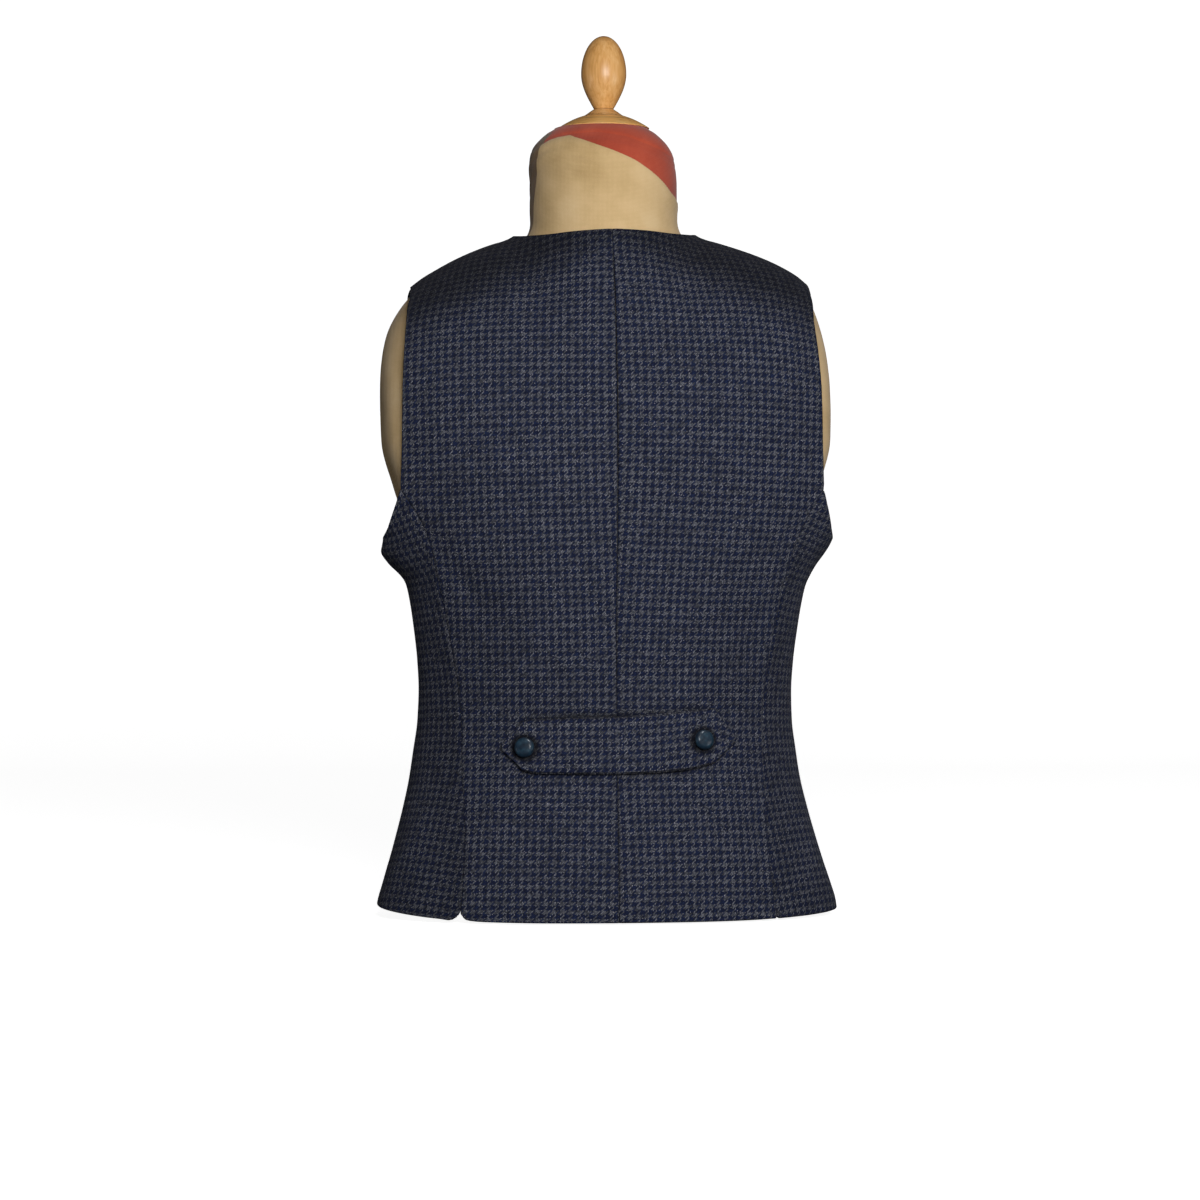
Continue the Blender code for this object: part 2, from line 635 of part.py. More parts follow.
def front_panel_grid(side):
    """A front: column 0 is the side seam and the last one the front edge and neckline."""
    cols = SHOULDER_ROWS
    seam = side_seam_line(side, SEAM_ROWS)
    shoulder = shoulder_line(cols + 1)[::-1]
    z, x = fine(FRONT_ARMHOLE, 60)
    arm = parameters(from_x(x, z, False))
    arm = np.concatenate([seam[-1:], arm, shoulder[:1]])
    arm = along(arm, ARM_ROWS + 3)
    inner = np.concatenate([seam, arm[1:]])
    z, x = fine(FRONT_NECKLINE, 80)
    neck = np.concatenate([shoulder[-1:], parameters(from_x(x, z, False))])[::-1]
    neck = along(neck, ARM_ROWS + 3)
    low = hem_rows(0.006) + HEM_Z
    edge_z = np.concatenate([low, np.linspace(low[-1], FRONT_V_Z, SEAM_ROWS - 1)[1:]])
    edge = parameters(from_x(np.full(len(edge_z), -FRONT_OVERLAP), edge_z, False))
    neck[0] = edge[-1]
    outer = np.concatenate([edge, neck[1:]])
    angle = hem_angles(seam[0, 0], edge[0, 0], cols, 0.12)
    bottom = np.stack([angle, hem_z(angle, side)], axis=1)
    bottom[0] = seam[0]
    bottom[-1] = edge[0]
    grid = coons(bottom, shoulder, inner, outer)
    return round_corner(grid, cols, 0.006)


def front_lift(points):
    """How far the right front is moved out, where it lies over the left one."""
    x = points[..., 0]
    z = points[..., 2]
    return FRONT_LIFT * ease(-x, -0.060, -0.018) * ease(-z, -0.400, -0.350)


def seam_reach(rows, seam_rows):
    """1 along a seam and 0 along the free edge beyond it."""
    reach = np.zeros(rows)
    reach[:seam_rows] = 1.0
    return reach


def cloth_panel(name, side, grid, seams, lifted=False):
    points = on_surface(coat_distance, grid[..., 0], grid[..., 1])
    normal = normals(coat_distance, points)
    if lifted:
        points = points + normal * front_lift(points)[..., None]
    mirrored = side == "right"
    flip = np.array([-1.0 if mirrored else 1.0, 1.0, 1.0])
    verts, faces = cloth_mesh(points * flip, normal * flip, not mirrored, seams, -WALL, WALL)
    return mesh_object(f"{name}_{side}", settle(verts), faces, "tweed")


def make_waistcoat():
    for side in ("left", "right"):
        grid = back_panel_grid(side)
        reach = seam_reach(len(grid), SEAM_ROWS)
        reach[-SHOULDER_ROWS - 1 :] = 1.0
        cloth_panel("back_centre", side, grid, {"inner": 1.0, "outer": reach})
        cloth_panel("side_back", side, side_panel_grid(side), {"inner": 1.0, "outer": 1.0})
        grid = front_panel_grid(side)
        seams = {"inner": seam_reach(len(grid), SEAM_ROWS), "top": 1.0}
        cloth_panel("front", side, grid, seams, lifted=side == "right")


def make_half_belt():
    """The belt with its two pointed ends, from the wearer's left to the right."""
    table = sorted(HALF_BELT)
    tip_left, corner_left = table[-1][0], table[-3][0]
    tip_right, corner_right = table[0][0], table[2][0]
    x = np.concatenate([
        np.linspace(tip_left, corner_left, 6),
        np.linspace(corner_left, corner_right, 13)[1:],
        np.linspace(corner_right, tip_right, 6)[1:],
    ])
    low = np.interp(x, [r[0] for r in table], [r[1] for r in table])
    high = np.interp(x, [r[0] for r in table], [r[2] for r in table])
    share = np.linspace(0, 1, 6)[:, None]
    z = low * (1 - share) + high * share
    wide = np.broadcast_to(x, z.shape)
    points = from_x(wide.ravel(), z.ravel(), True).reshape(z.shape + (3,))
    normal = normals(coat_distance, points)
    verts, faces = cloth_mesh(points, normal, False, {}, BELT_GAP, BELT_THICK)
    mesh_object("half_belt", verts, faces, "tweed")


def button_profile():
    """A domed button from the top of its axis down to its flat underside."""
    r = BUTTON_RADIUS
    h = BUTTON_HEIGHT
    dome = [(r * math.sin(a), 0.0018 + (h - 0.0018) * math.cos(a) ** 0.8)
            for a in np.linspace(0.0, math.pi / 2 - 0.06, 6)]
    return [*dome, (r, 0.0014), (r * 0.93, 0.0003), (r * 0.80, 0.0), (0.0, 0.0)]


def cloth_height(cloth, point, normal, radius):
    """How far along a normal the face of a piece of cloth reaches, within a radius of a point."""
    turn = normal.to_track_quat("Z", "Y")
    highest = 0.0
    for step in range(17):
        ring = radius * math.ceil(step / 8) / 2
        angle = step * math.pi / 4
        offset = turn @ Vector((ring * math.cos(angle), ring * math.sin(angle), 0.0))
        found, spot, _, _ = cloth.ray_cast(point + offset + normal * 0.03, -normal, distance=0.05)
        if found:
            highest = max(highest, (spot - point).dot(normal))
    return highest


def sew_button(name, mesh, x, z, back, cloth):
    """A button with its flat side just clear of the cloth under it."""
    surface = from_x([x], [z], back)
    normal = Vector(normals(coat_distance, surface)[0])
    point = Vector(surface[0])
    obj = turned_object(name, mesh, 18, "button_leather")
    obj.location = point + normal * (cloth_height(cloth, point, normal, BUTTON_RADIUS) + BUTTON_GAP)
    obj.rotation_mode = "QUATERNION"
    obj.rotation_quaternion = normal.to_track_quat("Z", "Y")


def make_buttons():
    bpy.context.view_layer.update()
    mesh = turned_mesh("button", button_profile())
    for side, x, z in BELT_BUTTONS:
        sew_button(f"belt_button_{side}", mesh, x, z, True, parts.objects["half_belt"])
    for number, z in enumerate(FRONT_BUTTON_HEIGHTS, 1):
        sew_button(f"front_button_{number}", mesh, 0.0, z, False, parts.objects["front_right"])


# ---------------------------------------------------------------- dress form
FORM_COLS = 40
FORM_ROWS = (
    0.0055, 0.010, 0.016, 0.024, 0.035, 0.055, 0.080, 0.105, 0.130, 0.155, 0.180, 0.205, 0.230, 0.255, 0.280,
    0.305, 0.330, 0.355, 0.380, 0.400, 0.414, 0.426, 0.438, 0.449, 0.459, 0.468, 0.477, 0.485,
    0.4925, 0.500, 0.509, 0.518, 0.528, 0.538, 0.5465, 0.5545, 0.5620, 0.5685, 0.5740, 0.5790,
)


def make_form():
    t = np.array([DATUM, *FORM_ROWS, NECK_TOP_Z - 0.021])
    angle = np.arange(FORM_COLS) * 2 * math.pi / FORM_COLS
    rings = on_surface(form_distance, *np.meshgrid(angle, t))
    rings[0, :, 2] = DATUM
    rings[-1, :, 2] = NECK_TOP_Z
    rows, cols = rings.shape[:2]
    faces = [tuple(range(cols))[::1]]
    for i in range(rows - 1):
        for j in range(cols):
            k = (j + 1) % cols
            faces.append((i * cols + k, i * cols + j, (i + 1) * cols + j, (i + 1) * cols + k))
    faces.append(tuple((rows - 1) * cols + j for j in range(cols - 1, -1, -1)))
    mesh_object("form_torso", settle(rings.reshape(-1, 3)), faces, "form_cloth")


def make_cap():
    z = NECK_TOP_Z + SEAM_GAP
    top = z + CAP_HEIGHT
    profile = [(0.0, top), (0.0152, top)]
    for r in np.linspace(0.0168, CAP_RADIUS, 8):
        profile.append((r, top + (0.0168**2 - r * r) / (2 * CAP_CURVE)))
    profile += [(CAP_RADIUS, z + 0.0002), (CAP_RADIUS - 0.0004, z), (0.0, z)]
    turned_object("form_neck_cap", turned_mesh("form_neck_cap", profile), 32, "cap_wood")


def make_finial():
    base = FINIAL_BASE_Z
    neck_z, wide_z, top_z = 0.6198, 0.6465, 0.6757
    neck_r, wide_r = 0.0077, 0.0174
    up = [
        (wide_r * math.sin(a), wide_z + (top_z - wide_z) * math.cos(a))
        for a in np.linspace(0, math.pi / 2, 9)
    ]
    down = [
        (neck_r + (wide_r - neck_r) * math.cos(s * math.pi / 2), wide_z - (wide_z - neck_z) * s)
        for s in np.linspace(0, 1, 7)[1:]
    ]
    foot = [(0.0084, 0.6189), (0.0104, 0.6174), (0.0128, 0.6158), (0.0150, 0.6144)]
    foot += [(0.0147, base), (0.0, base)]
    turned_object("form_finial", turned_mesh("form_finial", up + down + foot), 24, "finial_wood")


# ---------------------------------------------------------------- build
for old in list(bpy.data.objects):
    bpy.data.objects.remove(old, do_unlink=True)
parts = bpy.data.collections.new("waistcoat_on_dress_form")
bpy.context.scene.collection.children.link(parts)

make_waistcoat()
make_half_belt()
make_buttons()
make_form()
make_cap()
make_finial()
for made in parts.objects:
    made.location.z -= DATUM
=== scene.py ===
# %% [markdown]
# # A tweed waistcoat on its dress form
# The waistcoat is cut from a small two-colour check and worn by a short dress form with a turned
# wooden cap and finial. Each cut piece of cloth is made here as its own thin shell, on the same body
# surface as the solid that it stands for, and the weave is drawn on the piece's own flat pattern.
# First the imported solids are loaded, because every piece is placed in their frame.

# %% Load the solids
import math

import bpy
import numpy as np
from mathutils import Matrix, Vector
from mathutils.bvhtree import BVHTree


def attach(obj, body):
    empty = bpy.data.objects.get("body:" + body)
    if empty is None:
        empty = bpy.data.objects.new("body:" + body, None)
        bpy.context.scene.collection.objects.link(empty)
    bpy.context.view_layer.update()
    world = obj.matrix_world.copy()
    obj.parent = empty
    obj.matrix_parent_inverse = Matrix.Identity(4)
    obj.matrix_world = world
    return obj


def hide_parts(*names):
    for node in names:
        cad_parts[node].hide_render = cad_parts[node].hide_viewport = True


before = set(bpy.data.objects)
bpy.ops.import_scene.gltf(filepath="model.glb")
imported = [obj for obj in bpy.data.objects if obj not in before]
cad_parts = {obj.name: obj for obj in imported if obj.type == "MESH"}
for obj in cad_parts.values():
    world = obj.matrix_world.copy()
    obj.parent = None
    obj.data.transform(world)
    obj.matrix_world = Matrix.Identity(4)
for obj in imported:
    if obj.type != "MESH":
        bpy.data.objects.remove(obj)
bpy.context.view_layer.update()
print("solids:", sorted(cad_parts))

# %% [markdown]
# ## Sizes shared with the solids
# A garment maker starts from a table of body widths and heights. These are the same tables that the
# solids are lofted from, in metres, so that each piece of cloth lies where its solid does.

# %% Sizes and tables
DATUM = 0.0026  # heights below are measured from this far under the form's base
HEM_Z = 0.0042  # hem at the centre back
HEM_LIFT = {"left": 0.0085, "right": 0.0042}  # how much higher the hem is at the sides
WALL = 0.0024  # two layers of tweed and lining
SEAM_GAP = 0.0003
WAIST_Z = 0.174
SEAM_TOP_Z = 0.325  # where the side back seam meets the armhole
UNDERARM_Z = 0.2705
SIDE_SEAM_ANGLE = 91.0  # degrees round from the centre back
VENT_RADIUS = {"left": 0.0088, "right": 0.0022}
VENT_SHIFT = {"left": 0.0052, "right": 0.0008}  # how far the seam's low end leans inwards

SHOULDER_NECK_X = 0.0690
SHOULDER_TIP_X = 0.1515
SHOULDER_SEAM_Y = -0.008
SHOULDER_ROUNDING = 9.5  # drop of the shoulder away from its ridge, per metre squared

SHOULDER_TILT = 0.016  # the wearer's right shoulder is a little higher
SHOULDER_SHIFT = 0.0040  # and both tips lie this far towards it
WING_SAG = 0.0050  # the left armhole's widest point hangs out lower by this much
NECK_SHIFT = 0.0025  # the top of the form's neck leans to the left

FRONT_OVERLAP = 0.013  # each front passes the centre line by this much
FRONT_V_Z = 0.327  # where the V neck meets the front edge
FRONT_LIFT = WALL + 0.0010  # the right front lies over the left one
FRONT_CORNER = 0.006  # radius of the fronts' low corners

BELT_THICK = 0.0030
BELT_GAP = 0.0006
BUTTON_RADIUS = 0.0075
BELT_BUTTONS = ((0.0671, 0.1323), (-0.0641, 0.1376))  # (x, z)

NECK_TOP_Z = 0.6040
CAP_RADIUS = 0.0350
CAP_HEIGHT = 0.0094
CAP_CURVE = 0.0525  # radius of the cap's dome
FINIAL_BASE_Z = NECK_TOP_Z + SEAM_GAP + CAP_HEIGHT + SEAM_GAP
WIDTHS = (  # (z, half_width)
    (-0.020, 0.1795), (0.0035, 0.1762), (0.015, 0.1742), (0.026, 0.1710), (0.037, 0.1678),
    (0.060, 0.1613), (0.083, 0.1552), (0.106, 0.1500), (0.1285, 0.1466), (0.151, 0.1436),
    (0.174, 0.1428), (0.197, 0.1440), (0.220, 0.1466), (0.2425, 0.1500), (0.254, 0.1526),
    (0.262, 0.1563), (0.270, 0.1610), (0.278, 0.1668), (0.286, 0.1722), (0.300, 0.1810),
    (0.320, 0.1895), (0.350, 0.1930), (0.400, 0.1930), (0.440, 0.1905), (0.470, 0.1860),
    (0.500, 0.1780), (0.540, 0.1650),
)
SECTIONS = (  # (z, side_y, back_y, front_y, back_square, front_square)
    (-0.020, 0.026, 0.1180, -0.1200, 2.10, 2.05),
    (0.0035, 0.026, 0.1180, -0.1190, 2.10, 2.05),
    (0.040, 0.022, 0.1165, -0.1130, 2.10, 2.05),
    (0.080, 0.015, 0.1110, -0.1040, 2.08, 2.05),
    (0.120, 0.010, 0.1035, -0.0960, 2.05, 2.05),
    (0.155, 0.012, 0.0980, -0.0905, 2.05, 2.05),
    (0.185, 0.015, 0.0970, -0.0905, 2.05, 2.05),
    (0.220, 0.019, 0.0990, -0.1000, 2.10, 2.08),
    (0.260, 0.022, 0.1030, -0.1190, 2.20, 2.12),
    (0.300, 0.018, 0.1065, -0.1360, 2.35, 2.20),
    (0.335, 0.012, 0.1085, -0.1420, 2.40, 2.25),
    (0.370, 0.009, 0.1085, -0.1370, 2.40, 2.25),
    (0.400, 0.008, 0.1070, -0.1270, 2.40, 2.25),
    (0.430, 0.007, 0.1040, -0.1130, 2.40, 2.25),
    (0.460, 0.006, 0.0985, -0.0970, 2.40, 2.25),
    (0.490, 0.004, 0.0910, -0.0800, 2.35, 2.20),
    (0.515, 0.002, 0.0810, -0.0660, 2.30, 2.20),
    (0.540, 0.000, 0.0680, -0.0560, 2.20, 2.20),
)
SHOULDER_RIDGE = (  # (x, z)
    (0.000, 0.5335), (0.030, 0.5290), (0.0655, 0.5200), (0.079, 0.5178), (0.100, 0.5114),
    (0.120, 0.5034), (0.134, 0.4963), (0.144, 0.4903), (0.152, 0.4838), (0.165, 0.4690),
    (0.190, 0.4350),
)
COAT_NECK = (  # (z, half_width, back_y, front_y)
    (0.460, 0.0900, 0.0880, -0.0760), (0.490, 0.0770, 0.0780, -0.0650),
    (0.510, 0.0680, 0.0700, -0.0570), (0.5235, 0.0640, 0.0655, -0.0530),
    (0.540, 0.0610, 0.0625, -0.0520), (0.560, 0.0590, 0.0605, -0.0520),
    (0.620, 0.0580, 0.0600, -0.0520),
)
FORM_NECK = (  # (z, half_width, back_y, front_y)
    (0.440, 0.0600, 0.0600, -0.0520), (0.490, 0.0585, 0.0605, -0.0540),
    (0.520, 0.0570, 0.0592, -0.0548), (0.545, 0.0562, 0.0577, -0.0550),
    (0.575, 0.0560, 0.0574, -0.0549), (0.5845, 0.0542, 0.0554, -0.0529),
    (0.590, 0.0514, 0.0524, -0.0503), (0.595, 0.0471, 0.0477, -0.0464),
    (0.600, 0.0414, 0.0416, -0.0412), (0.6040, 0.0355, 0.0355, -0.0355),
    (0.640, 0.0300, 0.0300, -0.0300),
)
FORM_FIT = (  # (z, inset, half_width)
    (-0.020, 0.0500, 0.0860), (0.0026, 0.0380, 0.1000), (0.010, 0.0290, 0.1050),
    (0.017, 0.0235, 0.1120), (0.025, 0.0190, 0.1300), (0.035, 0.0150, 0.1460),
    (0.060, 0.0100, 0.1650), (0.090, 0.0070, 0.1700), (0.150, 0.0052, 0.1700),
    (0.200, 0.0052, 0.1560), (0.245, 0.0060, 0.1450), (0.290, 0.0066, 0.1480),
    (0.330, 0.0062, 0.1600), (0.365, 0.0054, 0.1700), (0.430, 0.0046, 0.1720),
    (0.462, 0.0043, 0.1720), (0.480, 0.0042, 0.1720), (0.500, 0.0040, 0.1720),
    (0.530, 0.0036, 0.1720), (0.620, 0.0034, 0.1720),
)
SIDE_BACK_SEAM = (  # (z, x)
    (0.000, 0.1228), (0.030, 0.1196), (0.0925, 0.1155), (0.150, 0.1140), (0.1675, 0.1152),
    (0.200, 0.1195), (0.2335, 0.1262), (0.265, 0.1332), (0.284, 0.1385), (0.305, 0.1470),
    (0.325, 0.1596),
)
BACK_ARMHOLE = (  # (z, x), from the side back seam up to the shoulder
    (0.325, 0.1596), (0.345, 0.1588), (0.3625, 0.1584), (0.3925, 0.1580), (0.4225, 0.1567),
    (0.4400, 0.1554), (0.4560, 0.1540),
)
BACK_ARMHOLE_TOP = (  # (y, x), over the shoulder
    (0.036, 0.1530), (0.022, 0.1524), (0.007, 0.1518),
)
LOW_ARMHOLE = (  # (z, x), down from the side back seam to the widest point
    (0.325, 0.1596), (0.3175, 0.1617), (0.310, 0.1641), (0.3025, 0.1664), (0.296, 0.1683),
    (0.290, 0.1712),
)
UNDERARM = (  # (angle, z), on from there to the side seam
    (79.0, 0.2820), (83.5, 0.2762), (87.5, 0.2722), (91.0, 0.2705),
)
FRONT_ARMHOLE = (  # (z, x), from the side seam up to the shoulder
    (0.290, 0.1590), (0.315, 0.1500), (0.345, 0.1440), (0.380, 0.1412), (0.415, 0.1418),
    (0.445, 0.1450), (0.468, 0.1485),
)
BACK_NECKLINE = (  # (angle, z)
    (0.0, 0.5214), (25.0, 0.5203), (45.0, 0.5192), (65.0, 0.5198), (80.0, 0.5213),
    (96.5, 0.5232),
)
FRONT_NECKLINE = (  # (z, x), from the shoulder down to the front edge
    (0.505, 0.0650), (0.485, 0.0612), (0.450, 0.0510), (0.410, 0.0355), (0.370, 0.0160),
    (0.345, 0.0015), (0.327, -0.0130),
)
HALF_BELT = (  # (x, low, high)
    (0.0845, 0.1316, 0.1346), (0.0765, 0.1232, 0.1440), (0.0690, 0.1152, 0.1530),
    (0.0600, 0.1134, 0.1542), (0.0300, 0.1130, 0.1552), (0.0000, 0.1130, 0.1561),
    (-0.0300, 0.1137, 0.1577), (-0.0560, 0.1162, 0.1601), (-0.0735, 0.1206, 0.1618),
    (-0.0820, 0.1290, 0.1502), (-0.0903, 0.1360, 0.1390),
)
RAYS = (  # (t, ray_z, elevation)
    (-0.10, -0.10, 0.0), (0.400, 0.400, 0.0), (0.485, 0.400, 63.75), (0.500, 0.455, 60.0),
    (0.515, 0.500, 48.0), (0.530, 0.540, 25.0), (0.545, 0.566, 0.0), (0.600, 0.621, 0.0),
)
print("waistcoat:", round(2 * max(row[1] for row in WIDTHS), 3), "m across at its widest")

# %% [markdown]
# ## The body surface
# The worn shape is one smooth surface: horizontal rings, cut off above by a shoulder roof and joined
# to the neck. It is described by how far a point lies outside it, and rays from the axis find it.

# %% The body surface
def column(table, index, at):
    """Column `index` of a table at the values `at` of its first column, smooth between rows."""
    rows = np.array(table, float)
    order = np.argsort(rows[:, 0])
    xs = rows[order, 0]
    ys = rows[order, index]
    at = np.asarray(at, float)
    step = np.diff(xs)
    slope = np.diff(ys) / step
    mid = np.zeros(len(xs))
    mid[0] = slope[0]
    mid[-1] = slope[-1]
    flat = slope[:-1] * slope[1:] <= 0
    near = 2 * step[1:] + step[:-1]
    far = step[1:] + 2 * step[:-1]
    safe = np.where(slope == 0, 1.0, slope)
    mean = (near + far) / (near / safe[:-1] + far / safe[1:] + 1e-30)
    mid[1:-1] = np.where(flat, 0.0, mean)
    k = np.clip(np.searchsorted(xs, at) - 1, 0, len(step) - 1)
    s = np.clip((at - xs[k]) / step[k], 0.0, 1.0)
    h = step[k]
    a = (1 + 2 * s) * (1 - s) ** 2
    b = s * (1 - s) ** 2
    c = s * s * (3 - 2 * s)
    d = s * s * (s - 1)
    return a * ys[k] + b * h * mid[k] + c * ys[k + 1] + d * h * mid[k + 1]


def read(table, at, index=1):
    """Column `index` of a table at the values `at` of its first column, straight between rows."""
    return np.interp(at, [row[0] for row in table], [row[index] for row in table])


def unit(value):
    """A value kept between 0 and 1."""
    return np.clip(value, 0, 1)


def ease(value, start, end):
    """0 before `start`, 1 after `end` and a smooth rise between them."""
    share = unit((value - start) / (end - start))
    return share * share * (3 - 2 * share)


def bell(distance, width):
    """1 where the distance is 0, falling smoothly to nearly 0 beyond twice the width."""
    return np.exp(-((distance / width) ** 2))


def lengths(line):
    """How far along a line each of its points lies."""
    return np.concatenate([[0], np.cumsum(np.linalg.norm(np.diff(line, axis=0), axis=1))])


def smooth_max(a, b, k):
    """The larger of two distances, with the edge between them rounded over about k."""
    h = np.maximum(k - np.abs(a - b), 0.0)
    return np.maximum(a, b) + h * h / (4 * k)


def smooth_min(a, b, k):
    return -smooth_max(-a, -b, k)


def ring_distance(x, y, half, side, back, front, square_back, square_front):
    """Roughly how far (x, y) lies outside one horizontal section."""
    dy = y - side
    deep = np.where(dy > 0, back - side, side - front)
    n = np.where(dy > 0, square_back, square_front)
    g = ((np.abs(x) / half) ** n + (np.abs(dy) / deep) ** n) ** (1 / n)
    r = np.sqrt(x * x + dy * dy)
    return r - r / np.maximum(g, 1e-6)


def torso_distance(x, y, z, corner=0.026):
    """Distance of the rings cut off by the shoulder roof; `corner` rounds the edge between them."""
    table = [column(SECTIONS, i, z) for i in range(1, 6)]
    ring = ring_distance(x, y, column(WIDTHS, 1, z), *table)
    ridge = column(SHOULDER_RIDGE, 1, np.abs(x))
    dy = y - SHOULDER_SEAM_Y - 0.010
    steep = 2 * SHOULDER_ROUNDING * dy
    roof = (z - ridge + SHOULDER_ROUNDING * dy * dy) / np.sqrt(1.16 + steep * steep)
    return smooth_max(ring, roof, corner)


def neck_distance(table, x, y, z):
    half, back, front = (column(table, i, z) for i in (1, 2, 3))
    return ring_distance(x, y, half, 0.0 * z, back, front, 2.0, 2.0)


def coat_distance(x, y, z):
    neck = neck_distance(COAT_NECK, x, y, z)
    return smooth_min(torso_distance(x, y, z), neck, 0.016)


def form_distance(x, y, z):
    inset = column(FORM_FIT, 1, z)
    side = np.abs(x) - column(FORM_FIT, 2, z)
    body = smooth_max(torso_distance(x, y, z, 0.050) + inset, side, 0.018)
    return smooth_min(body, neck_distance(FORM_NECK, x, y, z), 0.014)


def cast(distance, start, direction, far=0.5):
    """Where rays from inside a body leave it, by halving."""
    low = np.full(len(start), 0.004)
    high = np.full(len(start), far)
    for _ in range(44):
        middle = (low + high) / 2
        p = start + direction * middle[:, None]
        inside = distance(p[:, 0], p[:, 1], p[:, 2]) < 0
        low = np.where(inside, middle, low)
        high = np.where(inside, high, middle)
    return start + direction * high[:, None]


def on_surface(distance, angle, t):
    """The point of a body at `angle` (radians round from the centre back) and row parameter t."""
    shape = np.shape(angle)
    angle = np.ravel(angle)
    t = np.ravel(t)
    rise = np.radians(read(RAYS, t, 2))
    start = np.stack([0 * t, 0 * t, read(RAYS, t)], axis=1)
    flat = np.cos(rise)
    direction = np.stack([np.sin(angle) * flat, np.cos(angle) * flat, np.sin(rise)], axis=1)
    return cast(distance, start, direction).reshape(shape + (3,))


def normals(distance, points):
    """Unit outward normals of a body at points of its surface."""
    flat = points.reshape(-1, 3)
    step = 0.0008
    axes = []
    for i in range(3):
        d = np.zeros(3)
        d[i] = step
        more = distance(*(flat + d).T)
        less = distance(*(flat - d).T)
        axes.append(more - less)
    n = np.stack(axes, axis=1)
    n /= np.linalg.norm(n, axis=1)[:, None]
    return n.reshape(points.shape)


def parameters(points):
    """Angle and row parameter of surface points below the neck."""
    radius = np.hypot(points[:, 0], points[:, 1])
    angle = np.arctan2(points[:, 0], points[:, 1])
    angle = np.where(angle < -math.pi / 2, angle + 2 * math.pi, angle)
    rise = np.degrees(np.arctan2(points[:, 2] - 0.4, radius))
    t = np.where(points[:, 2] <= 0.4, points[:, 2], 0.4 + rise / 750.0)
    return np.stack([angle, t], axis=1)


def from_x(x, z, back):
    """Surface points at given x and z, on the back or the front."""
    x = np.asarray(x, float)
    start = np.stack([x, 0 * x, np.asarray(z, float)], axis=1)
    direction = np.tile([0.0, 1.0 if back else -1.0, 0.0], (len(x), 1))
    return cast(coat_distance, start, direction)


def from_angle(angle, z):
    """Surface points at given angles in degrees and heights."""
    angle = np.radians(np.asarray(angle, float))
    start = np.stack([0 * angle, 0 * angle, np.asarray(z, float)], axis=1)
    direction = np.stack([np.sin(angle), np.cos(angle), 0 * angle], axis=1)
    return cast(coat_distance, start, direction)


def from_above(x, y):
    """Surface points on top of the shoulder."""
    x = np.asarray(x, float)
    start = np.stack([x, 0 * x + y, 0 * x + 0.40], axis=1)
    return cast(coat_distance, start, np.tile([0.0, 0.0, 1.0], (len(x), 1)))


def settle(points):
    """Tilts, shifts and sags a body's points, the waistcoat's and the form's alike."""
    x, z = points[..., 0], points[..., 2]
    tilt = ease(z, 0.400, 0.470) * ease(-z, -0.575, -0.525)
    shift = ease(z, 0.445, 0.495) * ease(np.abs(x), 0.080, 0.140)
    wing = ease(x, 0.135, 0.165) * ease(z, 0.256, 0.271) * ease(-z, -0.290, -0.276)
    lean = ease(z, 0.560, 0.592)
    points = points.copy()
    points[..., 2] = z - SHOULDER_TILT * x * tilt
    points[..., 0] = x - SHOULDER_SHIFT * shift + WING_SAG * wing + NECK_SHIFT * lean
    return points


waist = on_surface(coat_distance, np.array([math.pi / 2]), np.array([WAIST_Z]))
print("waist half width:", waist[0, 0].round(4))

# %% [markdown]
# ## Cutting the pieces
# A pattern cutter draws each piece by its edges: seams, hem, armhole and neckline. Each edge is a
# line on the body surface, and a grid is filled in between the four of them. The grids are finer
# than those of the solids, so that creases and soft edges can be shaped.

# %% Cutting the pieces
SEAM_ROWS = 40
ARM_ROWS = 22
SHOULDER_ROWS = 26
BACK_COLS = 26
SIDE_COLS = 18


def hem_z(angle, side):
    """Height of the hem, which rises a little towards the sides."""
    return HEM_Z + HEM_LIFT[side] * np.abs(np.sin(angle)) ** 8


def hem_rows(radius):
    """Heights above the hem of a seam's first rows, which its rounded corner needs."""
    return np.array([0.0, radius * (1 - math.cos(math.radians(67.5))), radius])


def seam_heights(radius, top, count):
    """Heights of a seam's rows, from the hem to `top`."""
    low = hem_rows(radius) + HEM_Z
    return np.concatenate([low, np.linspace(low[-1], top, count - 1)[1:]])


def coons(bottom, top, inner, outer):
    """Grid of rows and columns filled in between four edges that share their corners."""
    rows = len(inner)
    cols = len(bottom)
    u = chord_share(bottom, top, cols)[None, :, None]
    v = chord_share(inner, outer, rows)[:, None, None]
    sides = (1 - u) * inner[:, None, :] + u * outer[:, None, :]
    ends = (1 - v) * bottom[None, :, :] + v * top[None, :, :]
    corners = (
        (1 - u) * (1 - v) * bottom[0]
        + u * (1 - v) * bottom[-1]
        + (1 - u) * v * top[0]
        + u * v * top[-1]
    )
    return sides + ends - corners


def relax(grid, first):
    """Evens out the inside of a grid from row `first` up, where its edges turn a corner."""
    for _ in range(14):
        middle = (grid[:-2, 1:-1] + grid[2:, 1:-1] + grid[1:-1, :-2] + grid[1:-1, 2:]) / 4
        grid[first:-1, 1:-1] = middle[first - 1 :]
    return grid


def chord_share(a, b, count):
    """How far along a pair of facing edges each point lies, as their mean."""
    total = np.zeros(count)
    for edge in (a, b):
        length = lengths(edge * np.array([0.13, 1.0]))
        total += length / length[-1] / 2
    return total


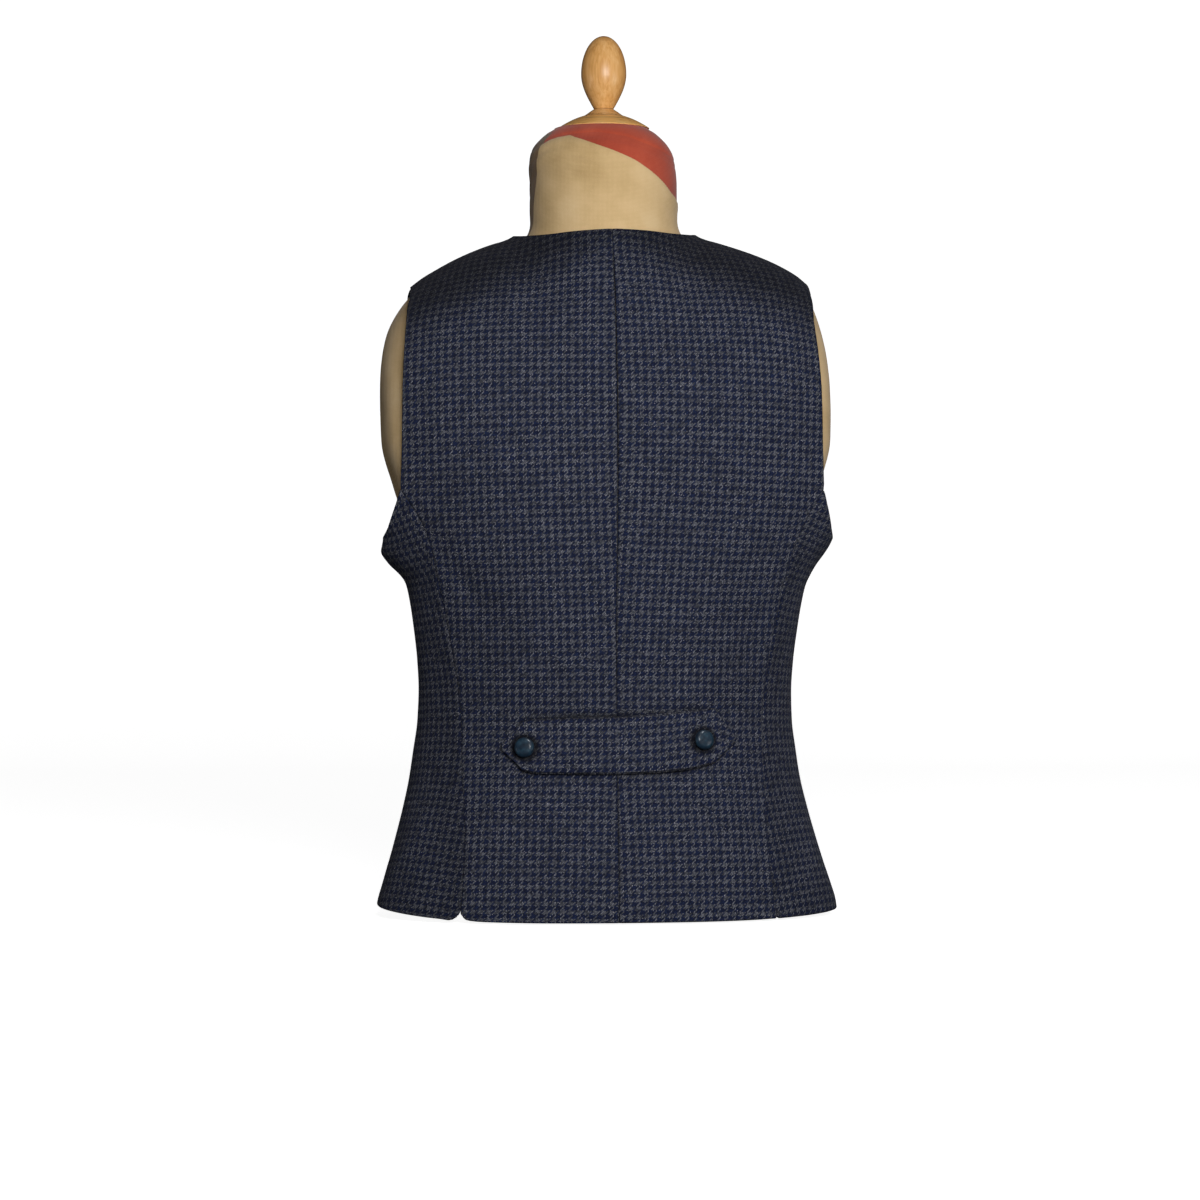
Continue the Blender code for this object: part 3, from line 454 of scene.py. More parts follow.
def round_corner(grid, col, radius):
    """Rounds the bottom corner of a parameter grid at its first or last column."""
    way = 1 if col == 0 else -1
    corner = grid[0, col].copy()
    point = on_surface(coat_distance, np.array([corner[0], corner[0] + 0.001]), np.full(2, HEM_Z))
    reach = np.sign(grid[0, col + way, 0] - corner[0]) * radius
    per_radian = np.linalg.norm(point[1] - point[0]) / 0.001
    for up, across, degrees in ((0, 0, 45.0), (0, 1, 22.5), (0, 2, 0.0), (1, 0, 67.5)):
        turn = math.radians(degrees)
        at = col + way * across
        grid[up, at, 0] = corner[0] + reach * (1 - math.sin(turn)) / per_radian
        if up == 0:
            grid[up, at, 1] = corner[1] + radius * (1 - math.cos(turn))
    return grid


def side_seam_line(side, count):
    """Rows of the side seam, as parameters."""
    z = seam_heights(VENT_RADIUS[side], UNDERARM_Z, count)
    share = (z - z[0]) / (z[-1] - z[0])
    angle = np.full(len(z), math.radians(SIDE_SEAM_ANGLE))
    z = z + (1 - share) * (hem_z(angle, side) - HEM_Z)
    return np.stack([angle, z], axis=1)


def back_seam_line(side, count):
    """Rows of the side back seam, as parameters."""
    z = seam_heights(VENT_RADIUS[side], SEAM_TOP_Z, count)
    x = column(SIDE_BACK_SEAM, 1, z) - VENT_SHIFT[side] * ease(-z, -0.150, -0.020)
    line = parameters(from_x(x, z, True))
    share = (z - z[0]) / (z[-1] - z[0])
    line[:, 1] += (1 - share) ** 2 * (hem_z(line[0, 0], side) - HEM_Z)
    return line


def shoulder_line(count):
    """The shoulder seam from the neck out to its tip, as parameters."""
    x = np.linspace(SHOULDER_NECK_X, SHOULDER_TIP_X, count)
    return parameters(from_above(x, SHOULDER_SEAM_Y))


def along(line, count):
    """A line of parameters divided into evenly spaced points of the surface."""
    length = lengths(on_surface(coat_distance, line[:, 0], line[:, 1]))
    even = np.linspace(0, length[-1], count)
    return np.stack([np.interp(even, length, line[:, i]) for i in (0, 1)], axis=1)


def fine(table, count, index=1):
    """A table's first and another column, read smoothly at many points."""
    first = [row[0] for row in table]
    at = np.linspace(first[0], first[-1], count)
    return at, column(table, index, at)


def hem_angles(start, end, cols, from_axis):
    """Angles of a hem's points: two of them close to the end, which has a rounded corner."""
    way = np.sign(end - start)
    near = end - way * np.array([0.0080, 0.0035]) / from_axis
    return np.concatenate([np.linspace(start, near[0], cols - 1), near[1:], [end]])


def back_panel_grid(side):
    """A centre back: column 0 is the centre seam, the last one the outer seam and edge."""
    radius = VENT_RADIUS[side]
    seam = back_seam_line(side, SEAM_ROWS)
    shoulder = shoulder_line(SHOULDER_ROWS + 1)[::-1]
    z, x = fine(BACK_ARMHOLE, 60)
    y, high_x = fine(BACK_ARMHOLE_TOP, 20)
    arm = [seam[-1:], parameters(from_x(x, z, True))[1:], parameters(from_above(high_x, y))]
    arm = along(np.concatenate([*arm, shoulder[:1]]), ARM_ROWS + 1)
    outer = np.concatenate([seam, arm[1:], shoulder[1:]])
    angle, z = fine(BACK_NECKLINE, 60)
    neck = parameters(from_angle(angle, z))
    neck[-1] = shoulder[-1]
    top = along(neck, BACK_COLS + 1)
    high = outer[len(seam) :, 1] - SEAM_TOP_Z
    high = SEAM_TOP_Z + (high / high[-1]) ** 0.75 * (neck[0, 1] - SEAM_TOP_Z)
    high[:ARM_ROWS] = np.linspace(SEAM_TOP_Z, high[ARM_ROWS - 1], ARM_ROWS + 1)[1:]
    t = np.concatenate([seam_heights(radius, SEAM_TOP_Z, SEAM_ROWS), high])
    inner = np.stack([0 * t, t], axis=1)
    angle = hem_angles(0.0, seam[0, 0], BACK_COLS, 0.15)
    bottom = np.stack([angle, hem_z(angle, side)], axis=1)
    bottom[-1] = seam[0]
    grid = relax(coons(bottom, top, inner, outer), SEAM_ROWS)
    return round_corner(grid, len(top) - 1, radius)


def side_panel_grid(side):
    """A side back: column 0 is the side back seam and the last one the side seam."""
    inner = back_seam_line(side, SEAM_ROWS)
    outer = side_seam_line(side, SEAM_ROWS)
    z, x = fine(LOW_ARMHOLE, 40)
    angle, low_z = fine(UNDERARM, 30)
    top = [inner[-1:], parameters(from_x(x, z, True))[1:], parameters(from_angle(angle, low_z))]
    top = np.concatenate(top)
    top[-1] = outer[-1]
    top = along(top, SIDE_COLS + 1)
    angle = hem_angles(outer[0, 0], inner[0, 0], SIDE_COLS, 0.16)[::-1]
    bottom = np.stack([angle, hem_z(angle, side)], axis=1)
    bottom[0] = inner[0]
    bottom[-1] = outer[0]
    grid = coons(bottom, top, inner, outer)
    return round_corner(grid, 0, VENT_RADIUS[side])


def front_panel_grid(side):
    """A front: column 0 is the side seam and the last one the front edge and neckline."""
    cols = SHOULDER_ROWS
    seam = side_seam_line(side, SEAM_ROWS)
    shoulder = shoulder_line(cols + 1)[::-1]
    z, x = fine(FRONT_ARMHOLE, 60)
    arm = [seam[-1:], parameters(from_x(x, z, False)), shoulder[:1]]
    arm = along(np.concatenate(arm), ARM_ROWS + 3)
    inner = np.concatenate([seam, arm[1:]])
    z, x = fine(FRONT_NECKLINE, 80)
    neck = np.concatenate([shoulder[-1:], parameters(from_x(x, z, False))])[::-1]
    neck = along(neck, ARM_ROWS + 3)
    low = hem_rows(FRONT_CORNER) + HEM_Z
    edge_z = np.concatenate([low, np.linspace(low[-1], FRONT_V_Z, SEAM_ROWS - 1)[1:]])
    edge = parameters(from_x(np.full(len(edge_z), -FRONT_OVERLAP), edge_z, False))
    neck[0] = edge[-1]
    outer = np.concatenate([edge, neck[1:]])
    angle = hem_angles(seam[0, 0], edge[0, 0], cols, 0.12)
    bottom = np.stack([angle, hem_z(angle, side)], axis=1)
    bottom[0] = seam[0]
    bottom[-1] = edge[0]
    grid = coons(bottom, shoulder, inner, outer)
    return round_corner(grid, cols, FRONT_CORNER)


def front_lift(points):
    """How far the right front is moved out, where it lies over the left one."""
    x = points[..., 0]
    z = points[..., 2]
    return FRONT_LIFT * ease(-x, -0.060, -0.018) * ease(-z, -0.400, -0.350)


CUTS = {"back_centre": back_panel_grid, "side_back": side_panel_grid, "front": front_panel_grid}
grids = {(name, side): cut(side) for name, cut in CUTS.items() for side in VENT_RADIUS}
print("grids:", {name: grid.shape[:2] for (name, side), grid in grids.items()})

# %% [markdown]
# ## Laying a piece flat
# The check runs straight on the cloth as it is cut, so each curved piece is laid out flat again: its
# points move in the plane until neighbours are as far apart as on the body. The result gives the
# weave its direction and also the size of the cut. `grain` is the column that lies along the warp.

# %% Laying a piece flat
def flatten(points, grain, centre_row):
    """Flat place of each grid point, in metres, with column `grain` upright."""
    rows, cols = points.shape[:2]
    index = np.arange(rows * cols).reshape(rows, cols)
    pairs = [
        (index[:, :-1], index[:, 1:]), (index[:-1], index[1:]),
        (index[:-1, :-1], index[1:, 1:]), (index[1:, :-1], index[:-1, 1:]),
    ]
    a = np.concatenate([p.ravel() for p, _ in pairs])
    b = np.concatenate([q.ravel() for _, q in pairs])
    place = points.reshape(-1, 3)
    rest = np.linalg.norm(place[a] - place[b], axis=1)
    weight = 1 / rest
    across = np.linalg.norm(np.diff(points, axis=1), axis=2)
    up = np.linalg.norm(np.diff(points, axis=0), axis=2)
    flat = np.zeros((rows, cols, 2))
    flat[:, 1:, 0] = np.cumsum(across, axis=1)
    flat[1:, :, 1] = np.cumsum(up, axis=0)
    flat = flat.reshape(-1, 2)
    pull = np.zeros((rows * cols, rows * cols))
    np.add.at(pull, (a, a), weight)
    np.add.at(pull, (b, b), weight)
    np.add.at(pull, (a, b), -weight)
    np.add.at(pull, (b, a), -weight)
    pull[0, 0] += 1
    solve = np.linalg.inv(pull)
    for _ in range(80):
        gap = flat[a] - flat[b]
        gap *= (rest / np.linalg.norm(gap, axis=1) * weight)[:, None]
        push = np.zeros_like(flat)
        np.add.at(push, a, gap)
        np.add.at(push, b, -gap)
        push[0] += flat[0]
        flat = solve @ push
    flat = flat.reshape(rows, cols, 2)
    line = flat[-1, grain] - flat[2, grain]
    turn = math.atan2(line[0], line[1])
    c, s = math.cos(turn), math.sin(turn)
    flat = flat @ np.array([[c, s], [-s, c]])
    return flat - flat[centre_row, 0]


# %% [markdown]
# ## Creases
# Pressed tweed lies smooth, with a few soft troughs where the body turns: under the arms, above the
# belt and towards the flared hem. Each is listed, in degrees round from the centre back (the
# wearer's left is positive) and height, and none is the twin of another.

# %% Creases
CREASES = (  # (degrees, z, degrees, z, width, depth), lengths in mm; a negative depth is a ridge
    (62, 305, 44, 222, 12.0, 1.6), (57, 262, 38, 196, 9.0, 0.9), (-60, 300, -45, 206, 13.0, 1.5),
    (-66, 262, -50, 190, 8.0, 1.0), (70, 235, 52, 176, 9.0, -0.9), (-72, 228, -55, 170, 9.0, -0.8),
    (40, 186, 12, 178, 8.0, 0.9), (-8, 190, -38, 183, 8.5, 0.8), (30, 205, 4, 214, 11.0, -0.7),
    (-14, 228, -34, 217, 11.0, -0.7), (37, 131, 52, 122, 6.0, 1.1), (-41, 139, -55, 146, 6.0, 1.0),
    (36, 141, 50, 158, 7.0, 0.7), (-40, 131, -52, 115, 7.0, 0.8), (48, 100, 57, 6, 12.0, 1.8),
    (66, 90, 74, 4, 13.0, -1.4), (-50, 94, -58, 4, 12.0, 1.6), (-70, 98, -76, 4, 14.0, -1.4),
    (22, 88, 26, 2, 15.0, -1.0), (-18, 80, -20, 2, 14.0, 0.8), (10, 370, 34, 392, 20.0, -0.7),
    (-12, 352, -36, 372, 20.0, -0.8), (24, 300, 50, 330, 16.0, 0.8), (-22, 285, -46, 312, 16.0, 0.7),
    (112, 275, 132, 215, 12.0, 1.6), (-114, 282, -134, 210, 12.0, 1.5), (140, 262, 168, 252, 10.0, 0.9),
    (-138, 250, -160, 244, 10.0, 1.0), (150, 176, 176, 186, 8.0, 1.0), (-146, 170, -170, 160, 8.0, 0.9),
    (104, 196, 128, 170, 9.0, 1.0), (-108, 186, -130, 176, 9.0, 1.0), (118, 104, 126, 4, 15.0, 1.6),
    (-122, 96, -128, 4, 15.0, 1.5), (148, 90, 153, 4, 15.0, -1.2), (-150, 96, -156, 4, 15.0, -1.1),
    (168, 128, 179, 122, 6.0, 0.6), (172, 68, 179, 60, 6.0, 0.6),
)
ROUND = 0.148  # metres round the body per radian, near enough for placing creases


def crease_depth(points):
    """How far each point of the worn surface is moved out by the creases."""
    angle = np.arctan2(points[..., 0], points[..., 1])
    here = np.stack([angle * ROUND, points[..., 2]], axis=-1)
    total = np.zeros(here.shape[:-1])
    for angle_a, z_a, angle_b, z_b, width, depth in CREASES:
        a = np.array([math.radians(angle_a) * ROUND, z_a / 1000])
        b = np.array([math.radians(angle_b) * ROUND, z_b / 1000])
        along_it = b - a
        length = np.linalg.norm(along_it)
        share = ((here - a) @ along_it) / length**2
        bend = 0.06 * length * np.sin(unit(share) * math.pi)
        side = ((here - a) @ np.array([-along_it[1], along_it[0]])) / length - bend
        end = unit((share + 0.12) / 0.35) * unit((1.12 - share) / 0.35)
        wide = width / 1000 * (0.75 + 0.5 * unit(share))
        total -= depth / 1000 * bell(side, wide) * end * end * (3 - 2 * end)
    return total


print("creases:", len(CREASES))

# %% [markdown]
# ## A shell of cloth
# A cut piece has an outer face, an inner face and an edge where the cloth is turned under. Sewn
# edges sink into the seam and stand up a little beside it, over the allowance that is pressed open
# underneath. The shell is made in mesh code, because its edge has to follow both faces.

# %% A shell of cloth
CLOTH = 0.0020  # thickness of the shell
EDGES = {
    "bottom": (0, slice(None)), "top": (-1, slice(None)),
    "inner": (slice(None), 0), "outer": (slice(None), -1),
}
TURN = (0.0, 0.025, 0.06, 0.11, 0.19, 0.33, 0.55, 0.78)  # stations across the first cell of an edge


def link(name, data):
    """A new object in the scene."""
    obj = bpy.data.objects.new(name, data)
    bpy.context.scene.collection.objects.link(obj)
    return obj


def add_piece(name, verts, faces, lower=DATUM):
    """A smooth mesh object at the origin. Points measured from the datum are lowered by it."""
    mesh = bpy.data.meshes.new(name)
    mesh.from_pydata((np.asarray(verts, float) - [0.0, 0.0, lower]).tolist(), [], faces)
    mesh.shade_smooth()
    return link(name, mesh)


def dress(obj, material, node):
    """Gives a piece its finish and its body, and hides the solid that it stands for."""
    obj.data.materials.append(material)
    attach(obj, "root")
    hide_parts(node)
    return obj


def stations(count, soft_start):
    """Places along a grid, as indexes with fractions, closer together at soft edges."""
    found = [*TURN] if soft_start else [0.0, 0.5]
    for k in range(1, count - 2):
        found += [k, k + 0.5]
    last = count - 1.0
    return np.array([*found, last - 1, *[last - t for t in TURN[:0:-1]], last])


def read_grid(grid, rows, cols):
    """A grid's values at fractional rows and columns."""
    r = np.minimum(rows.astype(int), len(grid) - 2)
    c = np.minimum(cols.astype(int), grid.shape[1] - 2)
    fr = (rows - r)[:, None, None]
    fc = (cols - c)[None, :, None]
    low = grid[r][:, c] * (1 - fc) + grid[r][:, c + 1] * fc
    high = grid[r + 1][:, c] * (1 - fc) + grid[r + 1][:, c + 1] * fc
    return low * (1 - fr) + high * fr


def from_edge(points, name):
    """Distance along the cloth of each grid point from one edge of the grid."""
    axis = 0 if name in ("bottom", "top") else 1
    back = name in ("top", "outer")
    step = np.linalg.norm(np.diff(points, axis=axis), axis=2)
    if back:
        step = np.flip(step, axis)
    pad = [(1, 0), (0, 0)] if axis == 0 else [(0, 0), (1, 0)]
    far = np.pad(np.cumsum(step, axis=axis), pad)
    return np.flip(far, axis) if back else far


def edge_directions(points, normal, mirrored):
    """For each of a grid's four edges, unit vectors in the cloth that point out of the panel."""
    found = {}
    for name, at in EDGES.items():
        way = -1 if name in ("top", "inner") else 1
        out = np.cross(np.gradient(points[at][::way], axis=0), normal[at][::way])
        out /= np.linalg.norm(out, axis=1)[:, None]
        found[name] = (-out if mirrored else out)[::way]
    return found


def shell(name, middle, normal, flat, out, thick, shade, rim):
    """A closed thin piece over a grid: `middle` is its outer face, `out` the directions of its edges.

    `shade` is how much painted shade darkens each point of the face, and `rim` how dark its turned edge is
    painted.
    """
    rows, cols = middle.shape[:2]
    r = thick / 2
    push = np.zeros_like(middle)
    for edge, where in EDGES.items():
        push[where] += out[edge]
    length = np.linalg.norm(push, axis=2, keepdims=True)
    push = np.where(length > 1, push / np.maximum(length, 1e-9), push)
    core = middle - normal * r - push * r
    index = np.arange(rows * cols).reshape(rows, cols)
    loop = np.concatenate([index[0, :-1], index[:-1, -1], index[-1, :0:-1], index[:0:-1, 0]])
    flat_core, n, p = (field.reshape(-1, 3) for field in (core, normal, push))
    layers = [flat_core + n * r]
    turns = [math.radians(degrees) for degrees in (35, 70, 110, 145)]
    layers += [flat_core[loop] + (n[loop] * math.cos(a) + p[loop] * math.sin(a)) * r for a in turns]
    layers.append(flat_core - n * r)
    verts = np.concatenate(layers)
    count, size = rows * cols, len(loop)
    a, b = index[:-1, :-1].ravel(), index[:-1, 1:].ravel()
    c, d = index[1:, 1:].ravel(), index[1:, :-1].ravel()
    last = count + 4 * size
    faces = [np.stack([a, b, c, d], 1), np.stack([d, c, b, a], 1) + last]
    rings = [loop, *[count + k * size + np.arange(size) for k in range(4)], loop + last]
    for up, low in zip(rings, rings[1:]):
        faces.append(np.stack([np.roll(up, -1), up, low, np.roll(low, -1)], 1))
    faces = np.concatenate(faces)
    a, b, c = (verts[faces[0, k]] for k in range(3))
    if np.dot(np.cross(b - a, c - a), n[0]) < 0:
        faces = faces[:, ::-1]
    obj = add_piece(name, verts, faces.tolist())
    mesh = obj.data
    uv = flat.reshape(-1, 2)
    uv = np.concatenate([uv, *[uv[loop] for _ in turns], uv])
    loops = np.empty(len(mesh.loops), np.int32)
    mesh.loops.foreach_get("vertex_index", loops)
    mesh.uv_layers.new(name="UVMap").data.foreach_set("uv", uv[loops].ravel())
    # Painted shade: how much each point's colour is darkened, kept for the tweed finish.
    shade_paint = mesh.attributes.new("painted_shade", "FLOAT", "POINT")
    s = shade.ravel()
    edge = [np.maximum(s[loop], rim * k / 4) for k in (1, 2, 3, 4)]
    shade_paint.data.foreach_set("value", np.concatenate([s, *edge, s]))
    return obj


print("cloth thickness:", CLOTH * 1000, "mm")

# %% [markdown]
# ## Colours and nodes
# A function turns hex colours to linear light, and a small class adds nodes with their settings and
# links. Every finish below is built with these.

# %% Colours and nodes
def linear(code):
    """Linear colour of an sRGB hex code."""
    found = []
    for i in (0, 2, 4):
        c = int(code[i : i + 2], 16) / 255
        found.append(c / 12.92 if c <= 0.04045 else ((c + 0.055) / 1.055) ** 2.4)
    return (*found, 1.0)


class Nodes:
    """A node tree, with short calls for the nodes that the finishes share."""

    def __init__(self, tree):
        self.tree = tree

    def fill(self, node, inputs):
        """Gives a node's sockets, named or numbered as in i3, a value or a link."""
        for key, value in inputs.items():
            numbered = key[0] == "i" and key[1:].isdigit()
            socket = node.inputs[int(key[1:]) if numbered else key.replace("_", " ")]
            if isinstance(value, bpy.types.NodeSocket):
                self.tree.links.new(value, socket)
            else:
                socket.default_value = value

    def add(self, kind, settings=None, **inputs):
        """A new node: settings are its own properties and inputs are its sockets."""
        node = self.tree.nodes.new(kind)
        for key, value in (settings or {}).items():
            setattr(node, key, value)
        self.fill(node, inputs)
        return node

    def calc(self, operation, a, b=0.0, c=0.0):
        return self.add("ShaderNodeMath", {"operation": operation}, i0=a, i1=b, i2=c).outputs[0]

    def join(self, x, y, z=0.0):
        return self.add("ShaderNodeCombineXYZ", i0=x, i1=y, i2=z).outputs[0]

    def noise(self, at, scale, detail, distortion=0.0, sides="3D"):
        return self.add("ShaderNodeTexNoise", {"noise_dimensions": sides}, Vector=at, Scale=scale,
                        Detail=detail, Distortion=distortion).outputs[0]

    def mix(self, share, a, b):
        """Number a where the share is 0 and b where it is 1."""
        return self.add("ShaderNodeMix", i0=share, i2=a, i3=b).outputs[0]

    def blend(self, share, a, b):
        """Colour a where the share is 0 and b where it is 1."""
        return self.add("ShaderNodeMix", {"data_type": "RGBA"}, i0=share, i6=a, i7=b).outputs[2]

    def ramp(self, value, *stops):
        """A colour ramp from (position, hex) stops."""
        node = self.add("ShaderNodeValToRGB", Fac=value)
        elements = node.color_ramp.elements
        while len(elements) < len(stops):
            elements.new(0.5)
        for element, (place, code) in zip(elements, stops):
            element.position = place
            element.color = linear(code)
        return node.outputs["Color"]

    def surface(self, colour, height, strength, distance):
        """Joins a colour and a relief to the Principled shader."""
        bump = self.add("ShaderNodeBump", Strength=strength, Distance=distance, Height=height)
        shader = self.tree.nodes["Principled BSDF"]
        self.fill(shader, {"Base_Color": colour, "Normal": bump.outputs[0]})


def finish(name, **inputs):
    """A new material, with these inputs of its Principled shader, and its nodes."""
    made = bpy.data.materials.new(name)
    made.use_nodes = True
    nodes = Nodes(made.node_tree)
    nodes.fill(nodes.tree.nodes["Principled BSDF"], inputs)
    return made, nodes


print("white:", linear("FFFFFF"))

# %% [markdown]
# ## Houndstooth tweed
# Woollen tweed is woven here as a 2/2 twill, with four dark threads and four light ones in turn, in
# the warp and the weft alike. That makes the small pointed check. The tree works out which thread is
# on top at each point, so the check and the relief of the threads agree. Yarn spun from mixed wool
# is never one colour: fibres of other shades run along each thread, with a few pale flecks.

# %% Houndstooth tweed
THREAD = 0.000762  # metres from thread to thread
NAVY_YARN = ((0.20, "050817"), (0.45, "0F1835"), (0.70, "182546"), (0.92, "37415A"))
GREY_YARN = ((0.20, "1B1D25"), (0.45, "45474F"), (0.70, "6E7079"), (0.92, "BEC1CC"))


def tweed(name):
    made, nodes = finish(
        name, Roughness=0.9, Sheen_Weight=0.04, Sheen_Roughness=0.5,
        Sheen_Tint=linear("B4B2C4"), Specular_IOR_Level=0.2,
    )
    calc = nodes.calc
    flat = nodes.add("ShaderNodeUVMap", {"uv_map": "UVMap"}).outputs[0]
    # Handling moves the threads by up to a tenth of a millimetre over about a centimetre.
    drift = nodes.add("ShaderNodeTexNoise", {"noise_dimensions": "2D"}, Vector=flat, Scale=90.0, Detail=1.0)
    drift = nodes.add("ShaderNodeVectorMath", {"operation": "MULTIPLY_ADD"},
                      i0=drift.outputs["Color"], i1=(0.0002, 0.0002, 0.0), i2=flat).outputs[0]
    place = nodes.add("ShaderNodeVectorMath", {"operation": "SCALE"}, i0=drift, Scale=1 / THREAD)
    place = nodes.add("ShaderNodeSeparateXYZ", Vector=place.outputs[0])
    x, y = place.outputs[0], place.outputs[1]
    i, j = calc("FLOOR", x), calc("FLOOR", y)
    # Each thread floats over two and dips under two, and each row moves the diagonal by one.
    step = calc("FLOORED_MODULO", calc("SUBTRACT", i, j), 4.0)
    beside = calc("ABSOLUTE", calc("SUBTRACT", calc("FRACT", x), 0.5))
    warp_up = calc("MULTIPLY", calc("LESS_THAN", step, 1.5), calc("LESS_THAN", beside, 0.435))

    def either(warp, weft):
        return nodes.mix(warp_up, weft, warp)

    dark = either(*[calc("LESS_THAN", calc("FLOORED_MODULO", k, 8.0), 3.5) for k in (i, j)])
    fx, fy = calc("FRACT", x), calc("FRACT", y)
    # How round the thread is here, across it and along its float.
    across = calc("SINE", calc("MULTIPLY", either(fx, fy), math.pi))
    warp_run = calc("SUBTRACT", calc("ADD", fy, 1.0), step)
    weft_run = calc("ADD", fx, calc("SUBTRACT", step, 2.0))
    along_it = calc("SINE", calc("MULTIPLY", either(warp_run, weft_run), math.pi / 2))
    thread = calc("MULTIPLY", across, calc("MULTIPLY_ADD", along_it, 0.7, 0.3))
    # Every float shows its own blend of fibres, drawn out along the thread.
    float_x = either(i, calc("SUBTRACT", i, calc("SUBTRACT", step, 2.0)))
    float_y = either(calc("ADD", j, step), j)
    yarn = nodes.add("ShaderNodeTexWhiteNoise", {"noise_dimensions": "3D"},
                     Vector=nodes.join(float_x, float_y, warp_up)).outputs["Value"]

    def drawn_out(along_x, along_y, detail):
        at = nodes.join(calc("MULTIPLY", x, along_x), calc("MULTIPLY", y, along_y))
        return nodes.noise(at, 1.0, detail, sides="2D")

    fibre = either(drawn_out(4.0, 0.7, 2.0), drawn_out(0.7, 4.0, 2.0))
    mixed = calc("MULTIPLY_ADD", yarn, 0.32, calc("MULTIPLY_ADD", fibre, 0.34, 0.14))
    colour = nodes.blend(dark, nodes.ramp(mixed, *GREY_YARN), nodes.ramp(mixed, *NAVY_YARN))
    # Pale flecks of kemp, a few on each square centimetre.
    speck = nodes.add("ShaderNodeTexVoronoi", {"voronoi_dimensions": "2D"}, Vector=flat, Scale=300.0)
    near = calc("LESS_THAN", speck.outputs["Distance"], 0.12)
    chosen = nodes.add("ShaderNodeSeparateColor", Color=speck.outputs["Color"]).outputs[0]
    fleck = calc("MULTIPLY", near, calc("GREATER_THAN", chosen, 0.86))
    colour = nodes.blend(calc("MULTIPLY", fleck, 0.45), colour, linear("B4B2B8"))
    # Painted light and shade: each float is painted lighter on its crown and darker between the threads,
    # warp floats are painted about a tenth lighter than weft floats, and the painted_shade layer darkens
    # seams and other shaded places. The tone also varies at random over the cloth and along the weft.
    broad = nodes.noise(flat, 55.0, 3.0, sides="2D")
    pick = drawn_out(0.03, 0.4, 1.0)
    shade_paint = nodes.add("ShaderNodeAttribute", {"attribute_name": "painted_shade"}).outputs["Fac"]
    light = calc("MULTIPLY_ADD", calc("POWER", thread, 1.6), 1.48, 0.28)
    for less in (
        calc("MULTIPLY_ADD", broad, 0.24, 0.88),
        either(1.10, calc("MULTIPLY_ADD", pick, 0.36, 0.74)),
        calc("MULTIPLY_ADD", shade_paint, -0.8, 1.0),
    ):
        light = calc("MULTIPLY", light, less)
    colour = nodes.add("ShaderNodeVectorMath", {"operation": "SCALE"}, i0=colour, Scale=light).outputs[0]
    nodes.surface(colour, calc("MULTIPLY_ADD", fibre, 0.4, thread), 0.7, 0.00022)
    return made


cloth_finish = tweed("woollen_tweed")
print("check repeat:", round(8 * THREAD * 1000, 2), "mm")

# %% [markdown]
# ## The six panels
# Two centre backs, two side backs and two fronts, each from its own grid. The outer face is moved
# by the creases and sinks at the sewn edges.

# %% The six panels
DITCH = 0.0011  # half width of the ditch over a seam
DITCH_DEPTH = 0.0006
SHADE_WIDTH = 0.0008  # half width of the painted dark line of shade in it
PRESSED = 0.00016  # how much the cloth stands up over an allowance
GRAIN = {"back_centre": 0, "side_back": 9, "front": -1}  # the column that lies along the warp


def centre_shade(z):
    """Painted shade in the centre back seam: darkest above the shoulder blades, fainter below and near the
    neck.
    """
    return (0.62 + 0.38 * ease(z, 0.300, 0.370)) * (1 - 0.6 * ease(z, 0.490, 0.510))


# Painted shade in the side back seams, deeper towards the hem.
def back_shade(z):
    return 0.16 + 0.14 * ease(-z, -0.200, -0.050)


SIDE_SHADE = 0.25
SEAM_SHADE = {  # how much painted shade darkens a seam, as a number or by its height
    ("back_centre", "inner"): centre_shade, ("back_centre", "outer"): back_shade,
    ("side_back", "inner"): back_shade, ("side_back", "outer"): SIDE_SHADE,
    ("front", "inner"): SIDE_SHADE, ("front", "outer"): 0.0,
}
PAINTED_SHADE_PATCHES = (  # (x, z, half width, half height, depth of shade): painted shade on patches of the back, as if they lay in hollows
    (0.090, 0.205, 0.030, 0.080, 0.24), (0.050, 0.165, 0.045, 0.026, 0.20),
    (-0.092, 0.170, 0.026, 0.060, 0.20), (0.150, 0.018, 0.030, 0.028, 0.30),
    (-0.140, 0.018, 0.026, 0.018, 0.28), (0.120, 0.315, 0.030, 0.040, 0.18),
)


def sewn_share(name, rows):
    """1 along the sewn part of each side edge and 0 along its free part."""
    share = {"inner": np.ones(len(rows)), "outer": np.ones(len(rows))}
    if name == "back_centre":
        share["outer"] = np.where((rows <= SEAM_ROWS) | (rows >= SEAM_ROWS + ARM_ROWS), 1.0, 0.0)
    if name == "front":
        share["inner"] = np.where(rows <= SEAM_ROWS, 1.0, 0.0)
        share["outer"] = np.zeros(len(rows))
    return share


def belt_shadow(points):
    """Painted shadow on the back just above and below the half belt, deepest under its bottom edge."""
    x, z = points[..., 0], points[..., 2]
    low, high = (read(sorted(HALF_BELT), x, i) for i in (1, 2))
    on_belt = ease(-np.abs(x), -0.078, -0.060) * (points[..., 1] > 0)
    far = np.maximum(z - high, 0)
    above = (0.28 * np.exp(-far / 0.0060) + 0.70 * bell(far, 0.0024)) * (z > high - 0.006)
    above *= 0.70 + 0.30 * ease(x, -0.030, 0.000)
    far = np.maximum(low - z, 0)
    below = (0.15 * np.exp(-far / 0.0040) + 0.80 * bell(far, 0.0011)) * (z < low + 0.006)
    return np.minimum(above + below, 1) * on_belt


